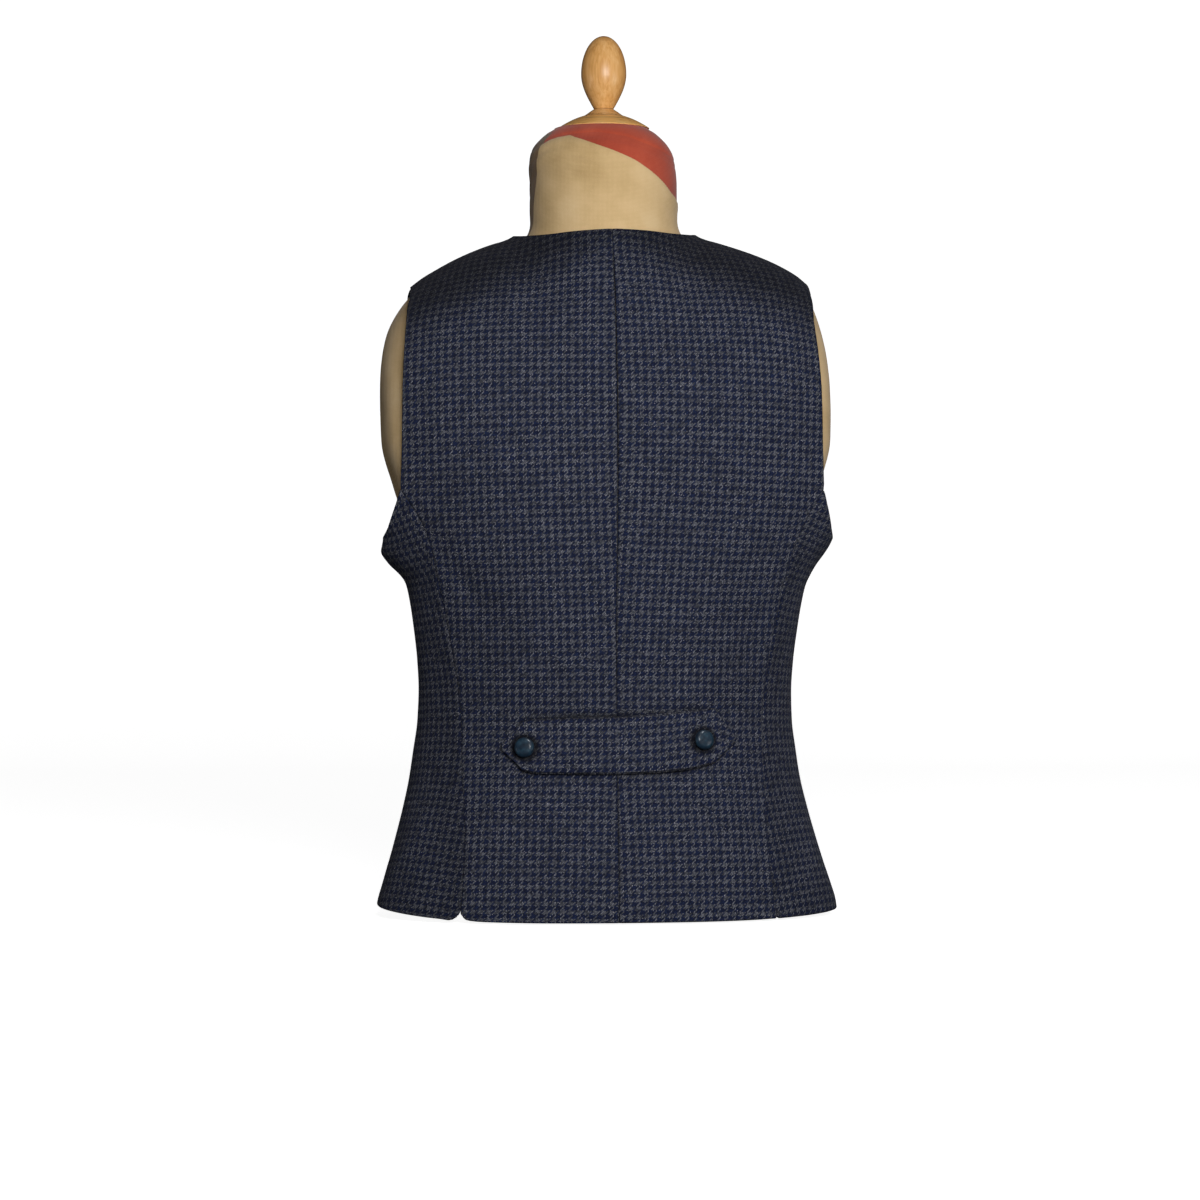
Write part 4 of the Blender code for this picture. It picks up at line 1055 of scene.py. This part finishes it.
def relief(name, side, points, share):
    """How far the seams, allowances and creases move each point out, and how much painted shade darkens it.
    """
    mirrored = side == "right"
    flip = np.array([-1.0 if mirrored else 1.0, 1.0, 1.0])
    x, y, z = points[..., 0] * flip[0], points[..., 1], points[..., 2]
    move = crease_depth(points * flip)
    shade = np.zeros(points.shape[:2])
    for edge in ("inner", "outer"):
        far = from_edge(points, edge)
        sewn = share[edge][:, None]
        raised = unit((0.0095 - far) / 0.003) * unit((far - 0.0008) / 0.0025)
        move += sewn * (-DITCH_DEPTH * bell(far, DITCH) + PRESSED * raised)
        deep = SEAM_SHADE[name, edge]
        deep = deep(z) if callable(deep) else deep
        shade = np.maximum(shade, deep * sewn * bell(far, SHADE_WIDTH))
        move += 0.00015 * ((1 - sewn) * unit((0.012 - far) / 0.003))
    for edge, deep in (("bottom", 0.034), ("top", 0.012)):
        far = from_edge(points, edge)
        if (name, edge) == ("front", "top"):  # the shoulder seam, with painted shade in it
            move -= DITCH_DEPTH * bell(far, DITCH)
            shade = np.maximum(shade, 0.3 * bell(far, SHADE_WIDTH))
        else:
            move += PRESSED * unit((deep - far) / 0.004)
    if name == "side_back":  # painted shade beside the seam, as if the side panel lay in a hollow there
        far = from_edge(points, "inner")
        deep = (0.26 if mirrored else 0.36) * ease(-z, -0.320, -0.260)
        shade = np.maximum(shade, deep * bell(np.maximum(far - 0.006, 0), 0.026))
        if mirrored:  # painted shade for a small gap at the low end of this seam
            low_seam_shade = 0.70 * bell(far, 0.0035) * bell(z - 0.030, 0.009)
        else:
            # painted shade down the lower part of this seam
            low_seam_shade = 0.55 * bell(far, 0.0060) * ease(-z, -0.120, -0.060)
        shade = np.maximum(shade, low_seam_shade)
    # Painted shade on patches of the back.
    for at_x, at_z, wide, high, deep in PAINTED_SHADE_PATCHES:
        far = ((x - at_x) / wide) ** 2 + ((z - at_z) / high) ** 2
        shade = np.maximum(shade, deep * np.exp(-far) * (y > 0))
    # Painted shade: the cloth is darkened where it turns over the shoulder and faces away from the lights.
    shade = np.maximum(shade, 0.78 * ease(z + 0.4 * np.abs(x), 0.492, 0.532))
    # No trough reaches the form where the cloth lies on it.
    close = unit((z - 0.40) / 0.05)
    return np.where(move < 0, move * (1 - 0.75 * close), move), shade


def make_panel(name, side):
    grid = grids[name, side]
    mirrored = side == "right"
    flip = np.array([-1.0 if mirrored else 1.0, 1.0, 1.0])
    base = on_surface(coat_distance, grid[..., 0], grid[..., 1])
    level = int(np.argmin(np.abs(base[:, 0, 2] - WAIST_Z)))
    pattern = flatten(base, GRAIN[name], level)
    rows, cols = stations(len(grid), False), stations(grid.shape[1], True)
    place = read_grid(grid, rows, cols)
    flat = read_grid(pattern, rows, cols) * np.array([1.0 if mirrored else -1.0, 1.0])
    points = on_surface(coat_distance, place[..., 0], place[..., 1])
    normal = normals(coat_distance, points)
    if name == "front" and mirrored:
        points = points + normal * front_lift(points)[..., None]
    share = sewn_share(name, rows)
    move, shade = relief(name, side, points, share)
    points = points + normal * move[..., None]
    out = edge_directions(points, normal, True)
    for edge, reach in share.items():
        points[EDGES[edge]] -= out[edge] * (SEAM_GAP / 3 * reach)[:, None]
    points = settle(points * flip)
    out = {key: value * flip for key, value in out.items()}
    # Painted shadow of the half belt on the back; the shell also paints the turned edges up to 0.6 dark.
    shade = np.maximum(shade, belt_shadow(points))
    obj = shell(f"{name}_{side}_cloth", points, normal * flip, flat, out, CLOTH, shade, 0.6)
    dress(obj, cloth_finish, f"{name}_{side}")
    return obj


panels = {(name, side): make_panel(name, side) for name in CUTS for side in ("left", "right")}

# %% [markdown]
# ## The half belt
# A pointed strap of the same tweed, with its own lining, lies across the back at the waist. Its check
# runs along the strap. It is a little thicker than the panels and its turned edge is rounded and
# painted dark; a thin painted shadow lies on the back above and below it, and painted shade rings the
# buttons.

# %% The half belt
def make_belt():
    table = sorted(HALF_BELT)
    left_tip, left, right, right_tip = (table[k][0] for k in (-1, -3, 2, 0))
    x = np.concatenate([
        np.linspace(left_tip, left, 26),
        np.linspace(left, right, 96)[1:],
        np.linspace(right, right_tip, 26)[1:],
    ])
    low, high = read(table, x), read(table, x, 2)
    even = np.linspace(0, 1, 27)
    share = (0.5 - 0.5 * np.cos(even * math.pi)) * 0.5 + even * 0.5
    z = low * (1 - share[:, None]) + high * share[:, None]
    wide = np.broadcast_to(x, z.shape)
    points = from_x(wide.ravel(), z.ravel(), True).reshape(z.shape + (3,))
    normal = normals(coat_distance, points)
    flat = np.zeros(z.shape + (2,))
    flat[..., 0] = lengths(points[len(z) // 2])
    flat[..., 1] = z - (low + high)[None, :] / 2
    edge = np.minimum(from_edge(points, "bottom"), from_edge(points, "top"))
    swell = 0.00035 * unit(edge / 0.006)
    # Painted shade along the strap's long edges.
    shade = 0.5 * bell(edge, 0.0010)
    for bx, bz in BELT_BUTTONS:  # each button pulls a dimple, with a painted shadow ring round it
        gap = np.hypot(points[..., 0] - bx, points[..., 2] - bz)
        swell -= 0.0007 * bell(gap, 0.010)
        shade = np.maximum(shade, bell(np.maximum(gap - 0.0088, 0), 0.0020))
    swell += 0.0003 * np.sin(points[..., 0] * 95 + 1.0) * unit(edge / 0.01)
    lift = crease_depth(points) * 0.5 + BELT_GAP + BELT_THICK - 0.0004 + swell
    points = points + normal * lift[..., None]
    out = edge_directions(points, normal, False)
    check_start = np.array([0.0031, 0.0012])  # where the belt's own check starts
    # The strap's turned edge is painted fully dark as shade.
    obj = shell("half_belt_cloth", points, normal, flat + check_start, out, 0.0026, shade, 1.0)
    dress(obj, cloth_finish, "half_belt")
    return obj


belt = make_belt()

# %% [markdown]
# ## Leather buttons
# Each button is a shallow dome of dyed leather over a hard blank. The leather is pulled round the
# rim, so it is smooth and shiny there and finely creased on the face. A turned profile gives the
# form, and its face is dented.

# %% Leather buttons
def turned(name, profile, steps, lower=DATUM):
    """A closed lathe form from (radius, z) points, from the axis above down to the axis below."""
    rings = profile[1:-1]
    turn = np.arange(steps) * 2 * math.pi / steps
    verts = [(0.0, 0.0, profile[0][1])]
    verts += [(r * math.cos(a), r * math.sin(a), z) for r, z in rings for a in turn]
    verts.append((0.0, 0.0, profile[-1][1]))
    faces = []
    for k in range(steps):
        n = (k + 1) % steps
        faces.append((0, 1 + k, 1 + n))
        for i in range(len(rings) - 1):
            a = 1 + i * steps
            faces.append((a + k, a + steps + k, a + steps + n, a + n))
        last = 1 + (len(rings) - 1) * steps
        faces.append((last + k, len(verts) - 1, last + n))
    return add_piece(name, verts, faces, lower)


def leather(name):
    made, nodes = finish(
        name, Roughness=0.5, Coat_Weight=0.22, Coat_Roughness=0.14, Specular_IOR_Level=0.15)
    at = nodes.add("ShaderNodeTexCoord").outputs["Object"]
    stain = nodes.noise(at, 260.0, 4.0)
    grain = nodes.add("ShaderNodeTexVoronoi", {"feature": "DISTANCE_TO_EDGE"}, Vector=at, Scale=1500.0)
    height = nodes.calc("MULTIPLY_ADD", nodes.noise(at, 420.0, 3.0, 1.2), 2.0, grain.outputs["Distance"])
    colour = nodes.ramp(stain, (0.3, "0C1926"), (0.55, "152A3A"), (0.75, "24404F"))
    nodes.surface(colour, height, 0.5, 0.0002)
    return made


leather_finish = leather("dyed_leather")


def button_profile():
    """Half section of a button as (radius, height), from the middle of its face to its back."""
    r = BUTTON_RADIUS
    face = [(r * 0.64 * s, 0.0046 + 0.0004 * (1 - s * s)) for s in np.linspace(0, 1, 9)]
    bend = ((0.70, 0.00450), (0.76, 0.00427), (0.82, 0.00399), (0.88, 0.00366), (0.93, 0.00330))
    rim = np.linspace(0.7, math.pi / 2, 6)
    rim = [(r * (0.86 + 0.14 * math.sin(a)), 0.0018 + 0.0015 * math.cos(a)) for a in rim]
    under = ((0.985, 0.0012), (0.93, 0.0004), (0.80, 0.0001), (0.0, 0.0001))
    return face + [(r * s, z) for s, z in bend] + rim + [(r * s, z) for s, z in under]


def make_button(node, seed):
    obj = turned(node + "_leather", button_profile(), 48, 0.0)
    verts = corners(obj)
    rng = np.random.default_rng(seed)
    for _ in range(3):
        a = rng.uniform(0, 2 * math.pi)
        way = np.array([math.cos(a), math.sin(a)])
        off = rng.uniform(-0.004, 0.004)
        across = verts[:, :2] @ way - off
        dent = 0.00022 * bell(across, 0.0006) * (verts[:, 2] > 0.004)
        verts[:, 2] -= dent * unit(1 - np.abs(verts[:, :2] @ np.array([-way[1], way[0]])) / 0.006)
    turn, place = button_seat(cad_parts[node])
    verts = verts @ np.array(turn.to_matrix()).T + np.array(place)
    for vertex, co in zip(obj.data.vertices, verts):
        vertex.co = co
    return dress(obj, leather_finish, node)


def corners(obj):
    """The points of an object's mesh."""
    return np.array([vertex.co for vertex in obj.data.vertices])


def button_seat(cad):
    """The turn and place of a button's solid, from its widest flat face."""
    points = corners(cad)
    centre = points.mean(axis=0)
    _, _, axes = np.linalg.svd(points - centre)
    axis = axes[2] * np.sign(axes[2] @ np.array([0, centre[1], 0]))
    reach = (points - centre) @ axis
    foot = centre + axis * reach.min()
    return Vector(axis).to_track_quat("Z", "Y"), Vector(foot)


BUTTONS = ["belt_button_left", "belt_button_right", *[f"front_button_{n}" for n in range(1, 6)]]
buttons = [make_button(node, 7 + k) for k, node in enumerate(BUTTONS)]
print("buttons:", len(buttons))

# %% [markdown]
# ## Buttonholes
# The right front laps over the left and has a worked buttonhole behind each button. The cut edge is
# covered with silk twist, one stitch beside the next, so geometry nodes set the stitches along the
# path round each slit, with their spacing, length and thickness as inputs.

# %% Buttonholes
STITCH = {"Spacing": 0.00046, "Length": 0.0021, "Thickness": 0.00044, "Variation": 0.16}
SLIT = 0.0165  # metres from the button's centre to the far end of the slit
SLIT_HALF = 0.0009  # half the height of the path round it


def stitch_tree(thread, seed):
    """Geometry nodes that set rounded stitches across a path that lies on the front."""
    tree = bpy.data.node_groups.new("stitches_across_a_path", "GeometryNodeTree")
    tree.interface.new_socket("Path", in_out="INPUT", socket_type="NodeSocketGeometry")
    for label in STITCH:
        tree.interface.new_socket(label, in_out="INPUT", socket_type="NodeSocketFloat")
    tree.interface.new_socket("Stitches", in_out="OUTPUT", socket_type="NodeSocketGeometry")
    nodes = Nodes(tree)
    given = tree.nodes.new("NodeGroupInput").outputs
    curve = nodes.add("GeometryNodeMeshToCurve", Mesh=given["Path"]).outputs[0]
    places = nodes.add("GeometryNodeCurveToPoints", {"mode": "LENGTH"}, Curve=curve, Length=given["Spacing"])
    across = nodes.add("ShaderNodeVectorMath", {"operation": "CROSS_PRODUCT"},
                       i0=places.outputs["Tangent"], i1=(0.0, -1.0, 0.0))
    turn = nodes.add("FunctionNodeAlignRotationToVector", {"axis": "Z"}, Vector=across.outputs[0])
    smallest = nodes.calc("SUBTRACT", 1.0, given["Variation"])
    chance = nodes.add("FunctionNodeRandomValue", {"data_type": "FLOAT"}, i2=smallest, i3=1.0, Seed=seed)
    long = nodes.calc("MULTIPLY", chance.outputs[1], given["Length"])
    stitch = nodes.add("GeometryNodeMeshUVSphere", Segments=6, Rings=6, Radius=0.5).outputs[0]
    size = nodes.join(given["Thickness"], given["Thickness"], long)
    shape = nodes.add("GeometryNodeInstanceOnPoints", Points=places.outputs["Points"],
                      Instance=stitch, Rotation=turn.outputs[0], Scale=size)
    for kind in ("GeometryNodeRealizeInstances", "GeometryNodeSetShadeSmooth"):
        shape = nodes.add(kind, Geometry=shape.outputs[0])
    shape = nodes.add("GeometryNodeSetMaterial", Geometry=shape.outputs[0], Material=thread)
    nodes.add("NodeGroupOutput", i0=shape.outputs[0])
    return tree


def slit_paths(cloth):
    """One path round each slit, laid on the cloth: its points and edges."""
    verts, edges = [], []
    for node in BUTTONS[2:]:
        button = corners(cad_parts[node])
        x, z = (button.min(axis=0) + button.max(axis=0))[[0, 2]] / 2
        loop = [(x + 0.001 - (SLIT + 0.001) * s, z + SLIT_HALF) for s in np.linspace(0, 1, 12)]
        for a in np.linspace(0.5, 2.6, 5):  # round the end that takes the strain
            loop.append((x - SLIT - 0.0012 * math.sin(a), z + SLIT_HALF * math.cos(a)))
        loop += [(px, z - SLIT_HALF) for px, _ in loop[11::-1]]
        start = len(verts)
        for px, pz in loop:
            hit = cloth.ray_cast(Vector((px, -0.5, pz)), Vector((0, 1, 0)))[0]
            verts.append((px, hit.y - 0.0001, pz))
        edges += [(k, k + 1) for k in range(start, len(verts) - 1)]
    return verts, edges


def make_buttonholes():
    cloth = BVHTree.FromObject(panels["front", "right"], bpy.context.evaluated_depsgraph_get())
    mesh = bpy.data.meshes.new("slit_paths")
    verts, edges = slit_paths(cloth)
    mesh.from_pydata(verts, edges, [])
    path = link("slit_paths", mesh)
    silk, _ = finish("buttonhole_twist", Roughness=0.45, Sheen_Weight=0.2, Base_Color=linear("1B2233"))
    sewing = path.modifiers.new("stitches", "NODES")
    sewing.node_group = stitch_tree(silk, 5)
    for item in sewing.node_group.interface.items_tree:
        if item.name in STITCH and item.in_out == "INPUT":
            sewing[item.identifier] = STITCH[item.name]
    bpy.context.view_layer.update()
    made = bpy.data.meshes.new_from_object(path.evaluated_get(bpy.context.evaluated_depsgraph_get()))
    bpy.data.objects.remove(path)
    obj = link("buttonhole_stitches", made)
    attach(obj, "root")
    return obj


holes = make_buttonholes()
print("buttonhole stitches:", len(holes.data.polygons), "faces")

# %% [markdown]
# ## The dress form
# The form is a padded torso covered with canvas. Its neck is covered with rust red cloth, and a
# khaki wrap is pulled round it from the wearer's left, with its upper edge turned under.

# %% The dress form
WRAP_EDGE = (  # (angle, z): khaki cloth lies below this line
    (-180, 0.5400), (-120, 0.5370), (-60, 0.5520), (-20, 0.5746), (-3.7, 0.5814), (8, 0.5856),
    (20, 0.5899), (34, 0.5942), (44, 0.5936), (55, 0.5919), (66, 0.5885), (76, 0.5845),
    (81, 0.5804), (110, 0.5620), (150, 0.5450), (180, 0.5400),
)
BAND_FOLD = (  # (angle, z): the red band is doubled above this line
    (-180, 0.5800), (-100, 0.5790), (-70, 0.5805), (-42, 0.5862), (-30, 0.5892), (-19, 0.5927),
    (-2, 0.5951), (9, 0.5963), (21.5, 0.5956), (40, 0.5950), (70, 0.5900), (180, 0.5800),
)


def on_line(table, angle):
    """Height of a line round the neck at angles in radians."""
    return read(table, (np.degrees(angle) + 180) % 360 - 180)


def make_form():
    t = np.concatenate([np.linspace(DATUM, 0.4, 90), np.linspace(0.4, NECK_TOP_Z - 0.021, 700)[1:]])
    angle = np.arange(160) * 2 * math.pi / 160
    height = on_surface(form_distance, *np.meshgrid(angle[::40], t))[..., 2]
    keep = [0]
    for row in range(1, len(t)):
        rise = (height[row] - height[keep[-1]]).min()
        if rise > (0.0040 if t[row] <= 0.4 else 0.0011) or row == len(t) - 1:
            keep.append(row)
    rings = on_surface(form_distance, *np.meshgrid(angle, t[keep]))
    normal = normals(form_distance, rings)
    rings[0, :, 2] = DATUM
    below = on_line(WRAP_EDGE, angle)[None, :] - rings[..., 2]
    doubled = rings[..., 2] - on_line(BAND_FOLD, angle)[None, :]
    side = ease(np.degrees(angle), 62, 70) * ease(-np.degrees(angle), -200, -150)
    neck = ease(rings[..., 2], 0.530, 0.545)
    wrapped = unit(below / 0.0012)
    wrap = wrapped * neck
    band = unit(doubled / 0.0010) * (1 - wrapped)
    dent = 0.0006 * bell(below - 0.0085, 0.0020) * (0.3 + 0.7 * np.cos(angle - 0.9) ** 2)
    dent += 0.0005 * bell(below - 0.0170 - 0.003 * np.sin(angle), 0.0028)
    dent += 0.0004 * bell(below - 0.0270, 0.0040) * np.sin(angle + 0.8) ** 2
    out = 0.0009 * wrap + 0.0006 * band * (1 - side) - dent * wrap
    out -= 0.0003 * bell(doubled + 0.004 - 0.002 * np.sin(angle), 0.0012) * (1 - wrap) * neck
    rings = rings + normal * out[..., None]
    rings[-1, :, 2] = NECK_TOP_Z
    rows, cols = rings.shape[:2]
    verts = np.concatenate([rings.reshape(-1, 3), [[0, 0, DATUM], [0, 0, NECK_TOP_Z]]])
    faces = []
    for j in range(cols):
        k = (j + 1) % cols
        faces.append((j, k, rows * cols))
        faces.append(((rows - 1) * cols + k, (rows - 1) * cols + j, rows * cols + 1))
        for i in range(rows - 1):
            faces.append((i * cols + k, i * cols + j, (i + 1) * cols + j, (i + 1) * cols + k))
    obj = add_piece("form_torso_cover", settle(verts), faces)
    # Painted shade: the khaki wrap is coloured darker brown where it lies in shade, from a slanting line at
    # the left round to the front.
    start = 61 + (0.598 - rings[..., 2]) * 250
    turn = (np.degrees(angle)[None, :] + 90) % 360 - 90
    under = np.minimum(turn - start, 118 + (rings[..., 2] - 0.560) * 500 - turn)
    under = np.minimum(under, (0.5985 - rings[..., 2]) * 1100)
    for key, value in (("khaki_mm", below * 1000), ("shaded_khaki_degrees", under), ("doubled_mm", doubled * 1000)):
        layer = obj.data.attributes.new(key, "FLOAT", "POINT")
        layer.data.foreach_set("value", np.concatenate([value.ravel(), [50.0, -50.0]]))
    return obj


def canvas(name):
    made, nodes = finish(
        name, Roughness=0.88, Sheen_Weight=0.15, Sheen_Roughness=0.5, Specular_IOR_Level=0.3)
    at = nodes.add("ShaderNodeTexCoord").outputs["Object"]
    waves = [
        nodes.add("ShaderNodeTexWave", {"bands_direction": way}, Vector=at, Scale=330.0,
                  Distortion=1.5, Detail=2.0, Detail_Scale=3.0).outputs["Fac"]
        for way in ("X", "Z")
    ]
    weave = nodes.calc("MULTIPLY", *waves)
    mixed = nodes.calc("MULTIPLY_ADD", weave, 0.35, nodes.noise(at, 30.0, 4.0))
    colour = None
    for key, codes in (  # each colour lies over the ones before it; the last is the painted shade on the khaki wrap
        ("", ("8E3422", "AC452F", "BE583E")), ("doubled_mm", ("983621", "B6462C", "C85C3E")),
        ("khaki_mm", ("AE9160", "CDAE7E", "DCC296")), ("shaded_khaki_degrees", ("5E4628", "775A36", "8C6E46")),
    ):
        shade = nodes.ramp(mixed, *zip((0.25, 0.6, 0.95), codes))
        if key:
            value = nodes.add("ShaderNodeAttribute", {"attribute_name": key}).outputs["Fac"]
            mask = nodes.add("ShaderNodeMapRange", Value=value, i1=-0.2, i2=0.2).outputs[0]
            shade = nodes.blend(mask, colour, shade)
        colour = shade
    nodes.surface(colour, weave, 0.5, 0.0003)
    return made


form = dress(make_form(), canvas("form_canvas"), "form_torso")
print("form:", len(form.data.polygons), "faces")

# %% [markdown]
# ## Turned wood
# The cap and finial are turned from a pale, honey coloured wood and oiled. On a turned piece the
# grain runs along the axis, so the figure shows as long upright streaks that close over the crown.

# %% Turned wood
def turned_wood(name, codes, varnish, lines):
    """Oiled beech; `varnish` is its clear coat and `lines` the heights of two fine turned grooves, drawn as
    painted dark lines of shade.
    """
    made, nodes = finish(
        name, Roughness=0.4, Coat_Weight=varnish, Coat_Roughness=0.3, Specular_IOR_Level=0.3)
    calc = nodes.calc
    at = nodes.add("ShaderNodeTexCoord").outputs["Object"]
    stretch = (1.0, 1.0, 0.07) if varnish else (0.12, 1.0, 1.0)
    grain_at = nodes.add("ShaderNodeMapping", Vector=at, Scale=stretch).outputs[0]
    streak = nodes.noise(grain_at, 620.0, 5.0, 0.6)
    mixed = nodes.mix(0.45, streak, nodes.noise(grain_at, 110.0, 3.0))
    colour = nodes.ramp(mixed, *zip((0.3, 0.5, 0.7), codes))
    pores = nodes.noise(grain_at, 2600.0, 1.0)
    pore = nodes.add("ShaderNodeMapRange", Value=pores, i1=0.62, i2=0.75).outputs[0]
    colour = nodes.blend(calc("MULTIPLY", pore, 0.3), colour, linear(codes[0]))
    height = nodes.add("ShaderNodeSeparateXYZ", Vector=at).outputs[2]
    # Painted shade: the grooves are darkened by dark lines painted into the colour.
    off = [calc("ABSOLUTE", calc("SUBTRACT", height, z - DATUM)) for z in lines]
    near = calc("MINIMUM", *off)
    groove_shade = nodes.add("ShaderNodeMapRange", Value=near, i1=0.0001, i2=0.0005, i3=0.6, i4=0.0)
    colour = nodes.blend(groove_shade.outputs[0], colour, linear("6E4418"))
    nodes.surface(colour, streak, 0.15, 0.0002)
    return made


def make_finial():
    neck_z, wide_z, top_z = 0.6198, 0.6465, 0.6757
    neck_r, wide_r = 0.0077, 0.0174
    egg = [
        (wide_r * math.sin(a), wide_z + (top_z - wide_z) * math.cos(a))
        for a in np.linspace(0, math.pi / 2, 34)
    ]
    egg += [
        (neck_r + (wide_r - neck_r) * math.cos(s * math.pi / 2), wide_z - (wide_z - neck_z) * s)
        for s in np.linspace(0, 1, 28)[1:]
    ]
    foot = [
        (0.0074, 0.61955), (0.0075, 0.6193), (0.0080, 0.6191), (0.0087, 0.6187), (0.0096, 0.6181),
        (0.0108, 0.6173), (0.0121, 0.61635), (0.0134, 0.6154), (0.0144, 0.6147), (0.0150, 0.6144),
        (0.0150, 0.6142), (0.0147, FINIAL_BASE_Z), (0.0, FINIAL_BASE_Z),
    ]
    obj = turned("form_finial_turned", egg + foot, 72)
    wood = turned_wood("oiled_beech_finial", ("B67C40", "D69F5C", "E4B67C"), 0.35, (0.6194, 0.6146))
    return dress(obj, wood, "form_finial")


def make_cap():
    z = NECK_TOP_Z + SEAM_GAP
    top = z + CAP_HEIGHT
    flat_r = 0.0168  # the finial's foot stands on this much of the dome
    dome = [
        (r, top + (flat_r**2 - r * r) / (2 * CAP_CURVE))
        for r in np.linspace(flat_r, CAP_RADIUS, 36)
    ]
    edge = [(CAP_RADIUS, z + 0.0002), (CAP_RADIUS - 0.0004, z), (0.0, z)]
    obj = turned("form_neck_cap_turned", [(0.0, top), (0.0152, top)] + dome + edge, 96)
    # Painted light: the cap's beech is coloured lighter than the finial's, making up for the little light
    # its upward-facing dome gets.
    wood = turned_wood("oiled_beech_cap_painted_light", ("CC9250", "E8B268", "F0C484"), 0.0, (0.6134, 0.6104))
    return dress(obj, wood, "form_neck_cap")


finial, cap = make_finial(), make_cap()
print("turned pieces:", finial.name, cap.name)

# %% [markdown]
# ## Floor, light and camera
# A white seamless sweep, soft lights on the camera's side and a long lens at the height of the chest.
# The camera looks at the back. Two more lights reach only the shiny pieces and show as gloss on them.

# %% Floor, light and camera
TURN_ANGLE = math.radians(5.6)  # how far the camera stands round from the centre back
AWAY = 2.855  # metres from the camera to the part's axis
EYE_Z = 0.2425  # height of the lens above the datum
PICTURE = 1200  # pixels that the lens was measured in


def light_only(lamp, pieces):
    """Keeps a light off everything else, as black card would."""
    shown = bpy.data.collections.new(lamp.name + "_pieces")
    for piece in pieces:
        shown.objects.link(piece)
    lamp.light_linking.receiver_collection = shown
    lamp.visible_diffuse = False


def make_sweep():
    """A white floor that curves up into a wall far behind."""
    turn = np.linspace(0, math.pi / 2, 16)
    depth = [(2.6, 0.0), *[(-2.4 - 0.9 * math.sin(a), 0.9 - 0.9 * math.cos(a)) for a in turn], (-3.3, 3.0)]
    verts = [(x, y, z) for y, z in depth for x in (-1.9, 1.9)]
    faces = [(2 * k, 2 * k + 1, 2 * k + 3, 2 * k + 2) for k in range(len(depth) - 1)]
    obj = add_piece("paper_sweep", verts, faces, 0.0)
    paper, _ = finish("matt_paper", Roughness=0.9, Base_Color=linear("F0F0F0"),
                      Emission_Color=(1, 1, 1, 1), Emission_Strength=0.92)
    obj.data.materials.append(paper)
    # Black flags keep the white paper from lighting the cloth.
    obj.visible_diffuse = False
    obj.visible_glossy = False
    return obj


def soft_light(name, place, target, size, watts):
    lamp = bpy.data.lights.new(name, "AREA")
    lamp.shape = "RECTANGLE"
    lamp.size, lamp.size_y = size
    lamp.energy = watts
    obj = link(name, lamp)
    obj.location = place
    obj.rotation_euler = (Vector(target) - Vector(place)).to_track_quat("-Z", "Y").to_euler()
    obj.visible_camera = False
    return obj


make_sweep()
soft_light("key_light", (-0.15, 1.72, 0.76), (0, 0, 0.38), (0.9, 0.45), 28)
soft_light("side_light", (-2.4, 1.75, 0.10), (0, 0, 0.3), (1.0, 1.0), 15)
soft_light("rim_light", (2.6, 0.7, 0.10), (0, 0, 0.3), (0.8, 1.0), 6.5)
# Two lights that only show as gloss: one above for the buttons and a low strip for the finial.
gloss = soft_light("gloss_light", (-0.7, 0.9, 2.6), (0, 0, 0.15), (0.5, 0.5), 60)
light_only(gloss, buttons)
strip = soft_light("strip_light", (-0.02, 1.25, 0.04), (0, 0, 0.64), (0.10, 0.8), 1.2)
light_only(strip, [finial, cap])
world = bpy.data.worlds.new("studio")
bpy.context.scene.world = world
world.use_nodes = True
Nodes(world.node_tree).fill(world.node_tree.nodes["Background"], {"Color": (1, 1, 1, 1), "Strength": 0.04})
bpy.context.scene.view_settings.view_transform = "Standard"

lens = bpy.data.cameras.new("camera")
lens.sensor_width = 36
lens.lens = 3716 / PICTURE * 36
lens.shift_x = -3.7 / PICTURE
camera = link("camera", lens)
camera.location = (AWAY * math.sin(TURN_ANGLE), AWAY * math.cos(TURN_ANGLE), EYE_Z - DATUM)
camera.rotation_euler = (math.pi / 2, 0, math.pi - TURN_ANGLE)
bpy.context.scene.camera = camera
print("camera at", [round(v, 3) for v in camera.location])
